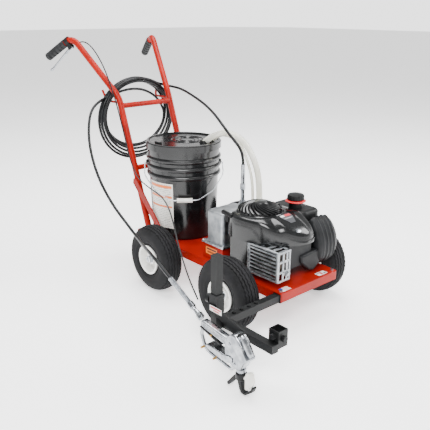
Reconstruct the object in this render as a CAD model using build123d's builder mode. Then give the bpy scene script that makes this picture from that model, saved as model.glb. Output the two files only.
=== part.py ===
"""Line striping machine: a four-wheeled cart with an engine, a belt-driven paint pump, a
5-gallon pail and an airless spray gun on an adjustable arm.

Millimetres. The origin is on the ground, on the cart's centreline, midway between the axles.
+Z is up, -Y is the way the machine travels and -X is the operator's right-hand side.
"""
import math
import os

from build123d import *

os.makedirs("parts", exist_ok=True)

# ---- driving dimensions -------------------------------------------------------------------
# cart
deck_half_width = 147.0
deck_front_y = -370.0
deck_rear_y = 450.0
deck_top_z = 156.0
deck_depth = 32.0
sheet = 3.0

# wheels and axles
tyre_radius = 128.0
tyre_width = 86.0
rim_radius = 57.0
half_track = 230.0
wheelbase = 408.0
axle_diameter = 16.0
bearing_od = 35.0
bearing_width = 11.0
running_gap = 0.05
rim_sheet = 2.5

# handle
tube_od = 25.4
tube_wall = 2.0
rail_half_gap = 126.0
rail_foot_y = 387.0
rail_knee = (126.0, 575.0, 690.0)
rail_crown = (203.0, 789.0, 922.0)
rail_end = (250.0, 916.0, 840.0)
knee_radius = 110.0
crown_radius = 46.0
grip_length = 116.0
grip_od = 34.0
crossbar_od = 22.0
crossbar_heights = (412.0, 657.0)

# paint pail
pail_y = 313.0
pail_height = 368.0
pail_base_radius = 131.0
pail_top_radius = 144.0
pail_rim_radius = 151.0
pail_wall = 2.5

# pump
gearbox_x = (-120.0, 18.0)
gearbox_y = (-58.0, 33.0)
gearbox_z = (222.0, 342.0)
plate_thickness = 6.0
riser_sheet = 4.0
pulley_z = 106.0
pulley_width = 20.0
pump_pulley_radius = 60.0
engine_pulley_radius = 36.0
belt_depth = 9.0

# engine
crank_x = -38.0
crank_y = -160.0
crank_diameter = 25.0
housing_z = (290.0, 364.0)
grille_radius = 84.0
grille_height = 27.0

# gun arm
square_tube = 25.4
sleeve_square = 31.75
sleeve_gap = 0.5
receiver_square = 38.1
post_top_z = 362.0
arm_outer_x = -424.4
gun_x = -458.0

# ---- sizes worked out from them -----------------------------------------------------------
axle_z = tyre_radius
rear_axle_y = wheelbase / 2
front_axle_y = -wheelbase / 2
deck_mid_y = (deck_front_y + deck_rear_y) / 2
deck_length = deck_rear_y - deck_front_y
deck_under_z = deck_top_z - sheet
arm_z = deck_under_z - sleeve_square / 2
arm_y = deck_front_y + sheet + sleeve_square / 2
post_x = arm_outer_x + square_tube / 2
pump_shaft_x = (gearbox_x[0] + gearbox_x[1]) / 2
pump_shaft_y = (gearbox_y[0] + gearbox_y[1]) / 2
rail_slope = (rail_knee[1] - rail_foot_y) / (rail_knee[2] - deck_top_z)


def save(part, name):
    """Label one finished piece and write it."""
    part.label = name
    export_step(part, f"parts/{name}.step")


def rail_y(z):
    """Where a handle rail's centre line is at height z, below the knee."""
    return rail_foot_y + rail_slope * (z - deck_top_z)


# ---- frame --------------------------------------------------------------------------------
with BuildPart() as deck:
    with BuildSketch(Plane.XY.offset(deck_top_z)):
        with Locations((0, deck_mid_y)):
            RectangleRounded(2 * deck_half_width, deck_length, 8)
    extrude(amount=-deck_depth)
    with BuildSketch(Plane.XY.offset(deck_under_z)):
        with Locations((0, deck_mid_y)):
            RectangleRounded(2 * (deck_half_width - sheet), deck_length - 2 * sheet, 5)
    extrude(amount=-deck_depth, mode=Mode.SUBTRACT)
    # clearance holes for the engine's shaft and the pump's shaft
    with BuildSketch(Plane.XY.offset(deck_top_z)):
        with Locations((crank_x, crank_y)):
            Circle(crank_diameter / 2 + 8)
        with Locations((pump_shaft_x, pump_shaft_y)):
            Circle(18)
    extrude(amount=-sheet, mode=Mode.SUBTRACT)
    # slots in the side flanges where the axles pass
    for axle_y in (front_axle_y, rear_axle_y):
        with Locations((0, axle_y, axle_z - 10)):
            Box(4 * deck_half_width, axle_diameter + 1, axle_diameter + 21, mode=Mode.SUBTRACT)
    # opening in the right flange for the arm's sleeve
    with Locations((-deck_half_width, arm_y, arm_z)):
        Box(30, sleeve_square + 0.2, sleeve_square + 0.2, mode=Mode.SUBTRACT)
save(deck.part, "deck")

axle_block_x = deck_half_width - sheet - 16.0
with BuildPart() as axle_blocks:
    for side in (-1, 1):
        for axle_y in (front_axle_y, rear_axle_y):
            with BuildSketch(Plane.YZ.offset(side * axle_block_x)):
                with BuildLine():
                    Polyline(
                        (axle_y - 22, deck_under_z),
                        (axle_y - 22, axle_z),
                        (axle_y - 12, axle_z - 14),
                        (axle_y + 12, axle_z - 14),
                        (axle_y + 22, axle_z),
                        (axle_y + 22, deck_under_z),
                        close=True,
                    )
                make_face()
                with Locations((axle_y, axle_z)):
                    Circle(axle_diameter / 2 + running_gap, mode=Mode.SUBTRACT)
            extrude(amount=11, both=True)
save(axle_blocks.part, "axle_blocks")

axle_half_length = half_track + tyre_width / 2 - 8
with BuildPart() as axles:
    for axle_y in (front_axle_y, rear_axle_y):
        with BuildSketch(Plane.YZ):
            with Locations((axle_y, axle_z)):
                Circle(axle_diameter / 2)
        extrude(amount=axle_half_length, both=True)
save(axles.part, "axles")

# ---- wheels -------------------------------------------------------------------------------
hub_half = 26.0
hub_radius = bearing_od / 2 + 3.5

with BuildPart() as wheel_bearings:
    for side in (-1, 1):
        for axle_y in (front_axle_y, rear_axle_y):
            for end in (-1, 1):
                middle = side * half_track + end * (hub_half - bearing_width / 2)
                with BuildSketch(Plane.YZ.offset(middle)):
                    with Locations((axle_y, axle_z)):
                        Circle(bearing_od / 2 - running_gap)
                        Circle(axle_diameter / 2, mode=Mode.SUBTRACT)
                extrude(amount=bearing_width / 2, both=True)
save(wheel_bearings.part, "wheel_bearings")


def make_tyre(wheel_x, wheel_y, name):
    """A pneumatic tyre: a closed ring with a crowned tread and the bead seated on the rim."""
    half = tyre_width / 2
    bead = rim_radius - 6.0
    with BuildPart() as tyre:
        with BuildSketch(Plane.XY.offset(axle_z)):
            with BuildLine():
                a = (wheel_x - half + 12, wheel_y + bead)
                b = (wheel_x - half, wheel_y + (tyre_radius + bead) / 2)
                c = (wheel_x - half + 9, wheel_y + tyre_radius - 12)
                d = (wheel_x, wheel_y + tyre_radius)
                e = (wheel_x + half - 9, wheel_y + tyre_radius - 12)
                f = (wheel_x + half, wheel_y + (tyre_radius + bead) / 2)
                g = (wheel_x + half - 12, wheel_y + bead)
                ThreePointArc(a, b, c)
                ThreePointArc(c, d, e)
                ThreePointArc(e, f, g)
                Line(g, a)
            make_face()
        revolve(axis=Axis((wheel_x, wheel_y, axle_z), (1, 0, 0)), revolution_arc=360)
        # three grooves round the tread
        for offset_x in (-18.0, 0.0, 18.0):
            with BuildSketch(Plane.YZ.offset(wheel_x + offset_x - 1.5)):
                with Locations((wheel_y, axle_z)):
                    Circle(tyre_radius + 2)
                    Circle(tyre_radius - 6, mode=Mode.SUBTRACT)
            extrude(amount=3, mode=Mode.SUBTRACT)
    save(tyre.part, name)


def make_rim(wheel_x, wheel_y, side, name):
    """A pressed steel rim: a drum with flanges, a dished disc and a bearing tube."""
    half = tyre_width / 2
    well = rim_radius - 6.0
    with BuildPart() as rim:
        # drum the tyre sits on
        with BuildSketch(Plane.YZ.offset(wheel_x)):
            with Locations((wheel_y, axle_z)):
                Circle(well)
                Circle(well - rim_sheet, mode=Mode.SUBTRACT)
        extrude(amount=half - 6, both=True)
        # flanges outside the beads
        for end in (-1, 1):
            with BuildSketch(Plane.YZ.offset(wheel_x + end * (half - 6))):
                with Locations((wheel_y, axle_z)):
                    Circle(rim_radius)
                    Circle(well - rim_sheet, mode=Mode.SUBTRACT)
            extrude(amount=end * rim_sheet)
        # disc, with a dish pressed towards the outside
        with BuildSketch(Plane.YZ.offset(wheel_x + side * 4)):
            with Locations((wheel_y, axle_z)):
                Circle(well - 1)
                Circle(hub_radius - 1, mode=Mode.SUBTRACT)
                with PolarLocations(36, 4, start_angle=45):
                    Circle(4, mode=Mode.SUBTRACT)
        extrude(amount=side * 3)
        # hub tube
        with BuildSketch(Plane.YZ.offset(wheel_x)):
            with Locations((wheel_y, axle_z)):
                Circle(hub_radius)
                Circle(bearing_od / 2, mode=Mode.SUBTRACT)
        extrude(amount=hub_half, both=True)
    save(rim.part, name)


wheel_names = {
    (-1, front_axle_y): "front_right",
    (1, front_axle_y): "front_left",
    (-1, rear_axle_y): "rear_right",
    (1, rear_axle_y): "rear_left",
}
for (side, axle_y), wheel_name in wheel_names.items():
    make_tyre(side * half_track, axle_y, f"tyre_{wheel_name}")
    make_rim(side * half_track, axle_y, side, f"rim_{wheel_name}")

# ---- handle -------------------------------------------------------------------------------
rail_foot = (rail_half_gap, rail_foot_y, deck_top_z)


def mirrored(point, side):
    """A point of the left-hand rail, moved to the given side."""
    return (side * point[0], point[1], point[2])


# the rails' outer shape, which cuts the ends of what is welded to them
with BuildPart() as rail_bars:
    for side in (-1, 1):
        route = [mirrored(p, side) for p in (rail_foot, rail_knee, rail_crown, rail_end)]
        with BuildLine() as rail_path:
            FilletPolyline(*route, radius=[knee_radius, crown_radius])
        with BuildSketch(Plane(rail_path.line @ 0, z_dir=rail_path.line % 0)):
            Circle(tube_od / 2)
        sweep(path=rail_path.line)

with BuildPart() as crossbars:
    for bar_z in crossbar_heights:
        with BuildSketch(Plane.YZ):
            with Locations((rail_y(bar_z), bar_z)):
                Circle(crossbar_od / 2)
                Circle(crossbar_od / 2 - tube_wall, mode=Mode.SUBTRACT)
        extrude(amount=rail_half_gap, both=True)
    add(rail_bars.part, mode=Mode.SUBTRACT)

strut_top_z = 359.0
strut_foot_y = 262.0
strut_thickness = 5.0
strut_x = rail_half_gap + tube_od / 2
with BuildPart() as brace_struts:
    for side in (-1, 1):
        with BuildSketch(Plane.YZ.offset(side * strut_x)):
            with BuildLine():
                top_y = rail_y(strut_top_z)
                Polyline(
                    (strut_foot_y - 22, deck_top_z),
                    (strut_foot_y + 14, deck_top_z),
                    (top_y + 14, strut_top_z - 6),
                    (top_y + 10, strut_top_z + 12),
                    (top_y - 12, strut_top_z + 12),
                    close=True,
                )
            make_face()
        extrude(amount=side * strut_thickness)
save(brace_struts.part, "brace_struts")

hook_rod = 9.5
hook_z = 668.0
hook_start_y = rail_y(hook_z)
with BuildPart() as hose_hooks:
    for side in (-1, 1):
        rod_start = (side * rail_half_gap, hook_start_y + tube_od / 2 - 1, hook_z)
        with BuildLine() as hook_path:
            FilletPolyline(
                rod_start,
                (side * (rail_half_gap + 1), hook_start_y + 102, hook_z),
                (side * (rail_half_gap + 14), hook_start_y + 112, hook_z + 44),
                radius=[16],
            )
        with BuildSketch(Plane(hook_path.line @ 0, z_dir=hook_path.line % 0)):
            Circle(hook_rod / 2)
        sweep(path=hook_path.line)
    add(rail_bars.part, mode=Mode.SUBTRACT)

# the bent rails, with the crossbars and the hose hooks welded between and behind them
with BuildPart() as handle_rails:
    for side in (-1, 1):
        route = [mirrored(p, side) for p in (rail_foot, rail_knee, rail_crown, rail_end)]
        with BuildLine() as rail_path:
            FilletPolyline(*route, radius=[knee_radius, crown_radius])
        with BuildSketch(Plane(rail_path.line @ 0, z_dir=rail_path.line % 0)):
            Circle(tube_od / 2)
            Circle(tube_od / 2 - tube_wall, mode=Mode.SUBTRACT)
        sweep(path=rail_path.line)
    # the feet are cut off level with the deck
    with Locations((0, rail_foot_y, deck_top_z - 20)):
        Box(400, 100, 40, mode=Mode.SUBTRACT)
    add(crossbars.part)
    add(hose_hooks.part)
save(handle_rails.part, "handle_rails")


def unit(vector):
    """A vector of length one."""
    return vector / vector.length


crown_to_end = Vector(*rail_end) - Vector(*rail_crown)
grip_direction = unit(crown_to_end)
with BuildPart() as grips:
    for side in (-1, 1):
        outward = Vector(side * grip_direction.X, grip_direction.Y, grip_direction.Z)
        tip = Vector(*mirrored(rail_end, side))
        with BuildSketch(Plane(tip + outward * 4, z_dir=-outward)):
            Circle(grip_od / 2)
        extrude(amount=grip_length)
        # finger ribs
        for step in range(5):
            with BuildSketch(Plane(tip - outward * (18 + 20 * step), z_dir=outward)):
                Circle(grip_od / 2 + 1)
                Circle(grip_od / 2 - 2, mode=Mode.SUBTRACT)
            extrude(amount=6, mode=Mode.SUBTRACT)
        with BuildSketch(Plane(tip, z_dir=-outward)):
            Circle(tube_od / 2)
        extrude(amount=grip_length, mode=Mode.SUBTRACT)
save(grips.part, "grips")

# ---- trigger lever and its bracket, on the right grip ---------------------------------------
right_axis = Vector(-grip_direction.X, grip_direction.Y, grip_direction.Z)
lever_base = Vector(*mirrored(rail_end, -1)) - right_axis * (grip_length + 8)
# across the bar, pointing down and forward, so the lever hangs under the grip
under = unit(Vector(0, 0, -1) - right_axis * Vector(0, 0, -1).dot(right_axis))
hinge_axis = right_axis.cross(under)
bracket_plane = Plane(lever_base, x_dir=right_axis, z_dir=-hinge_axis)

with BuildPart() as lever_bracket:
    # clamp ring round the bar
    with BuildSketch(Plane(lever_base - right_axis * 12, z_dir=right_axis)):
        Circle(tube_od / 2 + 4)
        Circle(tube_od / 2, mode=Mode.SUBTRACT)
    extrude(amount=18)
    # two cheeks that carry the lever's pin
    for cheek in (-1, 1):
        with BuildSketch(bracket_plane.offset(cheek * 6)):
            with BuildLine():
                Polyline((-12, -14.5), (6, -14.5), (6, -36), (-10, -36), (-16, -28), close=True)
            make_face()
            with Locations((-2, -30)):
                Circle(3.0, mode=Mode.SUBTRACT)
        extrude(amount=cheek * 3)
    with BuildSketch(bracket_plane.offset(-9)):
        with Locations((-2, -30)):
            Circle(3.0)
    extrude(amount=18)
save(lever_bracket.part, "lever_bracket")

with BuildPart() as trigger_lever:
    with BuildSketch(bracket_plane):
        with BuildLine():
            Polyline(
                (-9, -25),
                (14, -25),
                (60, -36),
                (98, -50),
                (104, -54),
                (101, -60),
                (58, -46),
                (10, -35),
                (-9, -35),
                close=True,
            )
        make_face()
        with Locations((-2, -30)):
            Circle(3.0 + running_gap, mode=Mode.SUBTRACT)
    extrude(amount=5.5, both=True)
save(trigger_lever.part, "trigger_lever")

# ---- paint pail ---------------------------------------------------------------------------
pail_top_z = deck_top_z + pail_height
pail_axis = Axis((0, pail_y, 0), (0, 0, 1))
pail_plane = Plane.XZ.offset(-pail_y)

# the bail's pins stand on a line turned from the cart's width, and the bail rests on the pail
bail_wire = 4.0
bail_half = pail_rim_radius + 6.0
bail_reach = 194.0
ear_centre = Vector(0, pail_y, pail_top_z - 75)
bail_across = Vector(1, 0, 0).rotate(Axis.Z, -38)
bail_out = Vector(0, -1, 0).rotate(Axis.Z, -38) * math.cos(math.radians(37)) - Vector(
    0, 0, math.sin(math.radians(37))
)


def bail_point(across, out):
    """A point in the plane that the bail lies in."""
    return ear_centre + bail_across * across + bail_out * out


with BuildPart() as pail:
    with BuildSketch(pail_plane):
        with BuildLine():
            lower = deck_top_z
            Polyline(
                (0, lower),
                (pail_base_radius, lower),
                (pail_top_radius, pail_top_z - 62),
                (pail_rim_radius - 2, pail_top_z - 62),
                (pail_rim_radius - 2, pail_top_z - 58),
                (pail_top_radius, pail_top_z - 58),
                (pail_top_radius, pail_top_z - 38),
                (pail_rim_radius - 2, pail_top_z - 38),
                (pail_rim_radius - 2, pail_top_z - 34),
                (pail_top_radius, pail_top_z - 34),
                (pail_top_radius, pail_top_z - 16),
                (pail_rim_radius - 2, pail_top_z - 16),
                (pail_rim_radius - 2, pail_top_z - 12),
                (pail_top_radius, pail_top_z - 12),
                (pail_top_radius, pail_top_z),
                (pail_top_radius - pail_wall, pail_top_z),
                (pail_base_radius - pail_wall, lower + 6),
                (0, lower + 6),
                close=True,
            )
        make_face()
    revolve(axis=pail_axis)
    # ears for the bail
    for side in (-1, 1):
        with BuildSketch(Plane(bail_point(side * (pail_top_radius - 3), 0), z_dir=bail_across * side)):
            Circle(11)
        extrude(amount=9)
        with BuildSketch(Plane(bail_point(side * (pail_top_radius + 2), 0), z_dir=bail_across * side)):
            Circle(2.6)
        extrude(amount=12, mode=Mode.SUBTRACT)
save(pail.part, "pail")

flap_x = -52.0
lid_thickness = 14.0
lid_radius = pail_rim_radius
with BuildPart() as pail_lid:
    with BuildSketch(Plane.XY.offset(pail_top_z - 10)):
        with Locations((0, pail_y)):
            Circle(lid_radius)
    extrude(amount=10 + lid_thickness)
    # skirt fits outside the pail's mouth, and the plug of the lid inside it
    with BuildSketch(Plane.XY.offset(pail_top_z - 10)):
        with Locations((0, pail_y)):
            Circle(pail_top_radius + 0.3)
    extrude(amount=10, mode=Mode.SUBTRACT)
    # raised rim ring and the two embossed rings
    with BuildSketch(Plane.XY.offset(pail_top_z + lid_thickness)):
        with Locations((0, pail_y)):
            Circle(lid_radius - 4)
            Circle(lid_radius - 12, mode=Mode.SUBTRACT)
    extrude(amount=5)
    # fill opening under the flap
    with BuildSketch(Plane.XY.offset(pail_top_z - 1)):
        with Locations((0, pail_y)):
            Circle(lid_radius - 24)
        with Locations((flap_x + 100, pail_y)):
            Rectangle(200, 400, mode=Mode.SUBTRACT)
    extrude(amount=lid_thickness + 20, mode=Mode.SUBTRACT)
    # seat for the flap
    with BuildSketch(Plane.XY.offset(pail_top_z + lid_thickness - 5)):
        with Locations((0, pail_y)):
            Circle(lid_radius - 13)
        with Locations((flap_x + 101, pail_y)):
            Rectangle(200, 400, mode=Mode.SUBTRACT)
    extrude(amount=30, mode=Mode.SUBTRACT)
    # tube holes
    for hole_x, hole_y, hole_r in ((30, 222, 20.5), (62, 214, 8.5)):
        with BuildSketch(Plane.XY.offset(pail_top_z - 1)):
            with Locations((hole_x, hole_y)):
                Circle(hole_r)
        extrude(amount=lid_thickness + 20, mode=Mode.SUBTRACT)
save(pail_lid.part, "pail_lid")

with BuildPart() as lid_flap:
    with BuildSketch(Plane.XY.offset(pail_top_z + lid_thickness - 4.7)):
        with Locations((0, pail_y)):
            Circle(lid_radius - 16)
        with Locations((flap_x + 99.5, pail_y)):
            Rectangle(200, 400, mode=Mode.SUBTRACT)
    extrude(amount=7)
    # finger tab at the free edge
    with Locations((-lid_radius + 26, pail_y, pail_top_z + lid_thickness + 6)):
        Box(10, 34, 9)
    # hinge barrel along the straight edge
    with BuildSketch(Plane.XZ.offset(-pail_y)):
        with Locations((flap_x - 0.5, pail_top_z + lid_thickness + 2.5)):
            Circle(2)
    extrude(amount=40, both=True)
save(lid_flap.part, "lid_flap")

with BuildPart() as pail_bail:
    half_wire = [(pail_top_radius + 3.5, 0), (bail_half, 0), (bail_half, 66), (112, 148), (52, bail_reach)]
    left_side = [bail_point(-across, out) for across, out in half_wire]
    right_side = [bail_point(across, out) for across, out in reversed(half_wire)]
    with BuildLine() as bail_path:
        FilletPolyline(*left_side, *right_side, radius=[4, 60, 60, 40, 40, 60, 60, 4])
    with BuildSketch(Plane(bail_path.line @ 0, z_dir=bail_path.line % 0)):
        Circle(bail_wire / 2)
    sweep(path=bail_path.line)
save(pail_bail.part, "pail_bail")

with BuildPart() as bail_grip:
    with BuildSketch(Plane(bail_point(-30, bail_reach), z_dir=bail_across)):
        Circle(9)
        Circle(bail_wire / 2, mode=Mode.SUBTRACT)
    extrude(amount=60)
save(bail_grip.part, "bail_grip")

with BuildPart() as suction_strainer:
    with BuildSketch(Plane.XY.offset(deck_top_z + 10)):
        with Locations((30, 222)):
            Circle(26)
    extrude(amount=34)
    with BuildSketch(Plane.XY.offset(deck_top_z + 44)):
        with Locations((30, 222)):
            Circle(12.5)
    extrude(amount=pail_height - 44 - 20)
save(suction_strainer.part, "suction_strainer")

# ---- pump ---------------------------------------------------------------------------------
plate_top_z = gearbox_z[0]
riser_top_z = plate_top_z - plate_thickness
gearbox_mid = ((gearbox_x[0] + gearbox_x[1]) / 2, (gearbox_y[0] + gearbox_y[1]) / 2)
gearbox_size = (gearbox_x[1] - gearbox_x[0], gearbox_y[1] - gearbox_y[0])
with BuildPart() as pump_riser:
    with BuildSketch(Plane.XY.offset(deck_top_z)):
        with Locations(gearbox_mid):
            Rectangle(gearbox_size[0] + 14, gearbox_size[1] + 14)
            Rectangle(
                gearbox_size[0] + 14 - 2 * riser_sheet,
                gearbox_size[1] + 14 - 2 * riser_sheet,
                mode=Mode.SUBTRACT,
            )
    extrude(amount=riser_top_z - deck_top_z)
save(pump_riser.part, "pump_riser")

with BuildPart() as pump_plate:
    with BuildSketch(Plane.XY.offset(riser_top_z)):
        with Locations(gearbox_mid):
            Rectangle(gearbox_size[0] + 26, gearbox_size[1] + 26)
        with Locations((pump_shaft_x, pump_shaft_y)):
            Circle(17, mode=Mode.SUBTRACT)
        with Locations((gearbox_x[1] + 68, gearbox_mid[1] + 15)):
            Rectangle(116, 74)
    extrude(amount=plate_thickness)
save(pump_plate.part, "pump_plate")

with BuildPart() as gearbox:
    with BuildSketch(Plane.XY.offset(plate_top_z)):
        with Locations(gearbox_mid):
            RectangleRounded(gearbox_size[0], gearbox_size[1], 14)
    extrude(amount=gearbox_z[1] - gearbox_z[0])
    fillet(gearbox.faces().sort_by(Axis.Z)[-1].edges(), 8)
    with BuildSketch(Plane.XY.offset(plate_top_z)):
        with Locations((pump_shaft_x, pump_shaft_y)):
            Circle(22)
    extrude(amount=60, mode=Mode.SUBTRACT)
save(gearbox.part, "gearbox")

outlet_at = (gearbox_x[1] + 42, 30.0)
manifold_top_z = 326.0
with BuildPart() as pump_manifold:
    with BuildSketch(Plane.XY.offset(plate_top_z)):
        with Locations((gearbox_x[1] + 64, 24)):
            RectangleRounded(92, 46, 6)
    extrude(amount=manifold_top_z - 28 - plate_top_z)
    # outlet boss
    with BuildSketch(Plane.XY.offset(manifold_top_z - 28)):
        with Locations(outlet_at):
            Circle(17)
    extrude(amount=28)
    # drive housing that joins it to the gearbox
    with BuildSketch(Plane.YZ.offset(gearbox_x[1])):
        with Locations((24, 268)):
            Circle(21)
    extrude(amount=22)
    # inlet and return stubs
    for stub_x, stub_y, stub_r, stub_top in ((145, 23, 12.0, 322), (126, 40, 6.0, 316)):
        with BuildSketch(Plane.XY.offset(plate_top_z + 20)):
            with Locations((stub_x, stub_y)):
                Circle(stub_r)
        extrude(amount=stub_top - plate_top_z - 20)
    with Locations((gearbox_x[1] + 112, 30, plate_top_z + 30)):
        Box(46, 30, 24)
save(pump_manifold.part, "pump_manifold")

with BuildPart() as outlet_fitting:
    with BuildSketch(Plane.XY.offset(manifold_top_z)):
        with Locations(outlet_at):
            RegularPolygon(13, 6)
    extrude(amount=14)
    with BuildSketch(Plane.XY.offset(manifold_top_z + 14)):
        with Locations(outlet_at):
            Circle(8)
    extrude(amount=44)
    with BuildSketch(Plane.XY.offset(manifold_top_z + 58)):
        with Locations(outlet_at):
            RegularPolygon(11, 6)
    extrude(amount=22)
    # spring that guards the hose's end
    with BuildSketch(Plane.XY.offset(manifold_top_z + 80)):
        with Locations(outlet_at):
            Circle(8)
    extrude(amount=76)
save(outlet_fitting.part, "outlet_fitting")

knob_z = 270.0
with BuildPart() as pressure_knob:
    with BuildSketch(Plane.XZ.offset(-47.0 - 8.0)):
        with Locations((gearbox_x[1] + 50, knob_z)):
            Circle(20)
    extrude(amount=-26)
    with BuildSketch(Plane.XZ.offset(-47.05)):
        with Locations((gearbox_x[1] + 50, knob_z)):
            Circle(7)
    extrude(amount=-8)
save(pressure_knob.part, "pressure_knob")


def make_pulley(radius):
    """Half the section of a V pulley, with a groove belt_depth deep."""
    half = pulley_width / 2
    Polyline(
        (0, pulley_z - half),
        (radius, pulley_z - half),
        (radius, pulley_z - half + 2),
        (radius - belt_depth, pulley_z - half + 5),
        (radius - belt_depth, pulley_z + half - 5),
        (radius, pulley_z + half - 2),
        (radius, pulley_z + half),
        (0, pulley_z + half),
        close=True,
    )


with BuildPart() as pump_pulley:
    with BuildSketch(Plane(origin=(pump_shaft_x, pump_shaft_y, 0), x_dir=(1, 0, 0), z_dir=(0, -1, 0))):
        with BuildLine():
            make_pulley(pump_pulley_radius)
        make_face()
    revolve(axis=Axis((pump_shaft_x, pump_shaft_y, 0), (0, 0, 1)))
    with BuildSketch(Plane.XY.offset(pulley_z)):
        with Locations((pump_shaft_x, pump_shaft_y)):
            Circle(9.5)
    extrude(amount=plate_top_z + 40 - pulley_z)
save(pump_pulley.part, "pump_pulley")

belt_gap = 0.4
with BuildPart() as drive_belt:
    engine_r = engine_pulley_radius - belt_depth + belt_gap
    pump_r = pump_pulley_radius - belt_depth + belt_gap
    with BuildSketch(Plane.XY.offset(pulley_z - 4)):
        for grow, how in ((belt_depth - 1, Mode.ADD), (0, Mode.SUBTRACT)):
            with BuildSketch(mode=how):
                with Locations((crank_x, crank_y)):
                    Circle(engine_r + grow)
                with Locations((pump_shaft_x, pump_shaft_y)):
                    Circle(pump_r + grow)
                make_hull()
    extrude(amount=8)
save(drive_belt.part, "drive_belt")

# ---- engine -------------------------------------------------------------------------------
crank_axis = Axis((crank_x, crank_y, 0), (0, 0, 1))
with BuildPart() as crankcase:
    with BuildSketch(Plane.XY.offset(deck_top_z)):
        with Locations((crank_x, crank_y)):
            Circle(86)
    extrude(amount=12)
    with BuildSketch(Plane.XY.offset(deck_top_z + 12)):
        with Locations((crank_x, crank_y)):
            Circle(56)
        with Locations((crank_x + 60, crank_y - 22)):
            RectangleRounded(108, 84, 10)
    extrude(amount=housing_z[0] - deck_top_z - 14)
    with BuildSketch(Plane.XY.offset(deck_top_z)):
        with Locations((crank_x, crank_y)):
            Circle(crank_diameter / 2 + running_gap)
    extrude(amount=200, mode=Mode.SUBTRACT)
save(crankcase.part, "crankcase")

with BuildPart() as crankshaft:
    with BuildSketch(Plane.XY.offset(pulley_z - pulley_width / 2 - 4)):
        with Locations((crank_x, crank_y)):
            Circle(crank_diameter / 2)
    extrude(amount=housing_z[0] + 46 - pulley_z + pulley_width / 2 + 4)
save(crankshaft.part, "crankshaft")

with BuildPart() as engine_pulley:
    with BuildSketch(Plane(origin=(crank_x, crank_y, 0), x_dir=(1, 0, 0), z_dir=(0, -1, 0))):
        with BuildLine():
            make_pulley(engine_pulley_radius)
        make_face()
    revolve(axis=crank_axis)
    with BuildSketch(Plane.XY.offset(pulley_z - pulley_width)):
        with Locations((crank_x, crank_y)):
            Circle(crank_diameter / 2)
    extrude(amount=pulley_width * 2, mode=Mode.SUBTRACT)
save(engine_pulley.part, "engine_pulley")

flywheel_radius = 78.0
with BuildPart() as flywheel:
    with BuildSketch(Plane.XY.offset(housing_z[0] + 6)):
        with Locations((crank_x, crank_y)):
            Circle(flywheel_radius)
            Circle(crank_diameter / 2, mode=Mode.SUBTRACT)
    extrude(amount=14)
    with BuildSketch(Plane.XY.offset(housing_z[0] + 20)):
        with Locations((crank_x, crank_y)):
            with PolarLocations(flywheel_radius - 18, 14):
                Rectangle(30, 4)
    extrude(amount=22)
save(flywheel.part, "flywheel")

# plan of the cowl: round behind, over the flywheel, and a nose that runs forward
nose_y = -346.0
cowl_left_x = 74.0
with BuildPart() as blower_housing:
    with BuildSketch(Plane.XY.offset(housing_z[0])):
        with BuildLine():
            Polyline(
                (-130, -112),
                (-130, -250),
                (-62, -310),
                (-12, nose_y),
                (26, nose_y + 2),
                (cowl_left_x, -290),
                (cowl_left_x, -88),
                (20, -68),
                (-100, -68),
                close=True,
            )
        make_face()
        fillet(vertices(), 14)
    extrude(amount=housing_z[1] - housing_z[0] - 4, taper=9)
    fillet(blower_housing.faces().sort_by(Axis.Z)[-1].edges(), 9)
    # collar under the starter grille
    with BuildSketch(Plane.XY.offset(housing_z[1] - 8)):
        with Locations((crank_x, crank_y)):
            Circle(grille_radius + 3)
    extrude(amount=8)
    # hollow for the flywheel, open below
    with BuildSketch(Plane.XY.offset(housing_z[0])):
        with Locations((crank_x, crank_y)):
            Circle(flywheel_radius + 4)
    extrude(amount=60, mode=Mode.SUBTRACT)
    with BuildSketch(Plane.XY.offset(housing_z[0] + 60)):
        with Locations((crank_x, crank_y)):
            Circle(grille_radius - 12)
    extrude(amount=40, mode=Mode.SUBTRACT)
save(blower_housing.part, "blower_housing")

with BuildPart() as starter_grille:
    with BuildSketch(Plane(origin=(crank_x, crank_y, housing_z[1]), x_dir=(1, 0, 0), z_dir=(0, -1, 0))):
        with BuildLine():
            Line((0, grille_height), (grille_radius * 0.35, grille_height))
            ThreePointArc(
                (grille_radius * 0.35, grille_height),
                (grille_radius * 0.8, grille_height * 0.72),
                (grille_radius, 0),
            )
            Line((grille_radius, 0), (grille_radius - 4, 0))
            ThreePointArc(
                (grille_radius - 4, 0),
                (grille_radius * 0.76, grille_height * 0.6),
                (grille_radius * 0.35, grille_height - 4),
            )
            Line((grille_radius * 0.35, grille_height - 4), (0, grille_height - 4))
            Line((0, grille_height - 4), (0, grille_height))
        make_face()
    revolve(axis=crank_axis)
    with BuildSketch(Plane.XY.offset(housing_z[1] + 2)):
        with Locations((crank_x, crank_y)):
            with PolarLocations(grille_radius * 0.62, 16):
                SlotOverall(40, 5, rotation=58)
    extrude(amount=grille_height, mode=Mode.SUBTRACT)
save(starter_grille.part, "starter_grille")

handle_at = Vector(-124, -88, 352)
with BuildPart() as starter_handle:
    with BuildSketch(Plane(handle_at - Vector(0, 17, 0), x_dir=(1, 0, 0), z_dir=(0, 1, 0))):
        RectangleRounded(15, 13, 5)
    extrude(amount=34)
    with BuildSketch(Plane.XY.offset(handle_at.Z - 6)):
        with Locations((handle_at.X, handle_at.Y)):
            Circle(5)
    extrude(amount=-22)
save(starter_handle.part, "starter_handle")

guard_x = (-132.0, -75.0)
guard_y = (-336.0, -204.0)
guard_z = (185.0, 281.0)
guard_mid = tuple((low + high) / 2 for low, high in (guard_x, guard_y, guard_z))
guard_size = tuple(high - low for low, high in (guard_x, guard_y, guard_z))
with BuildPart() as muffler:
    with Locations((guard_mid[0] + 6, guard_mid[1], guard_mid[2])):
        Box(guard_size[0] - 14, guard_size[1] - 20, guard_size[2] - 18)
    fillet(muffler.edges(), 8)
save(muffler.part, "muffler")

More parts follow.
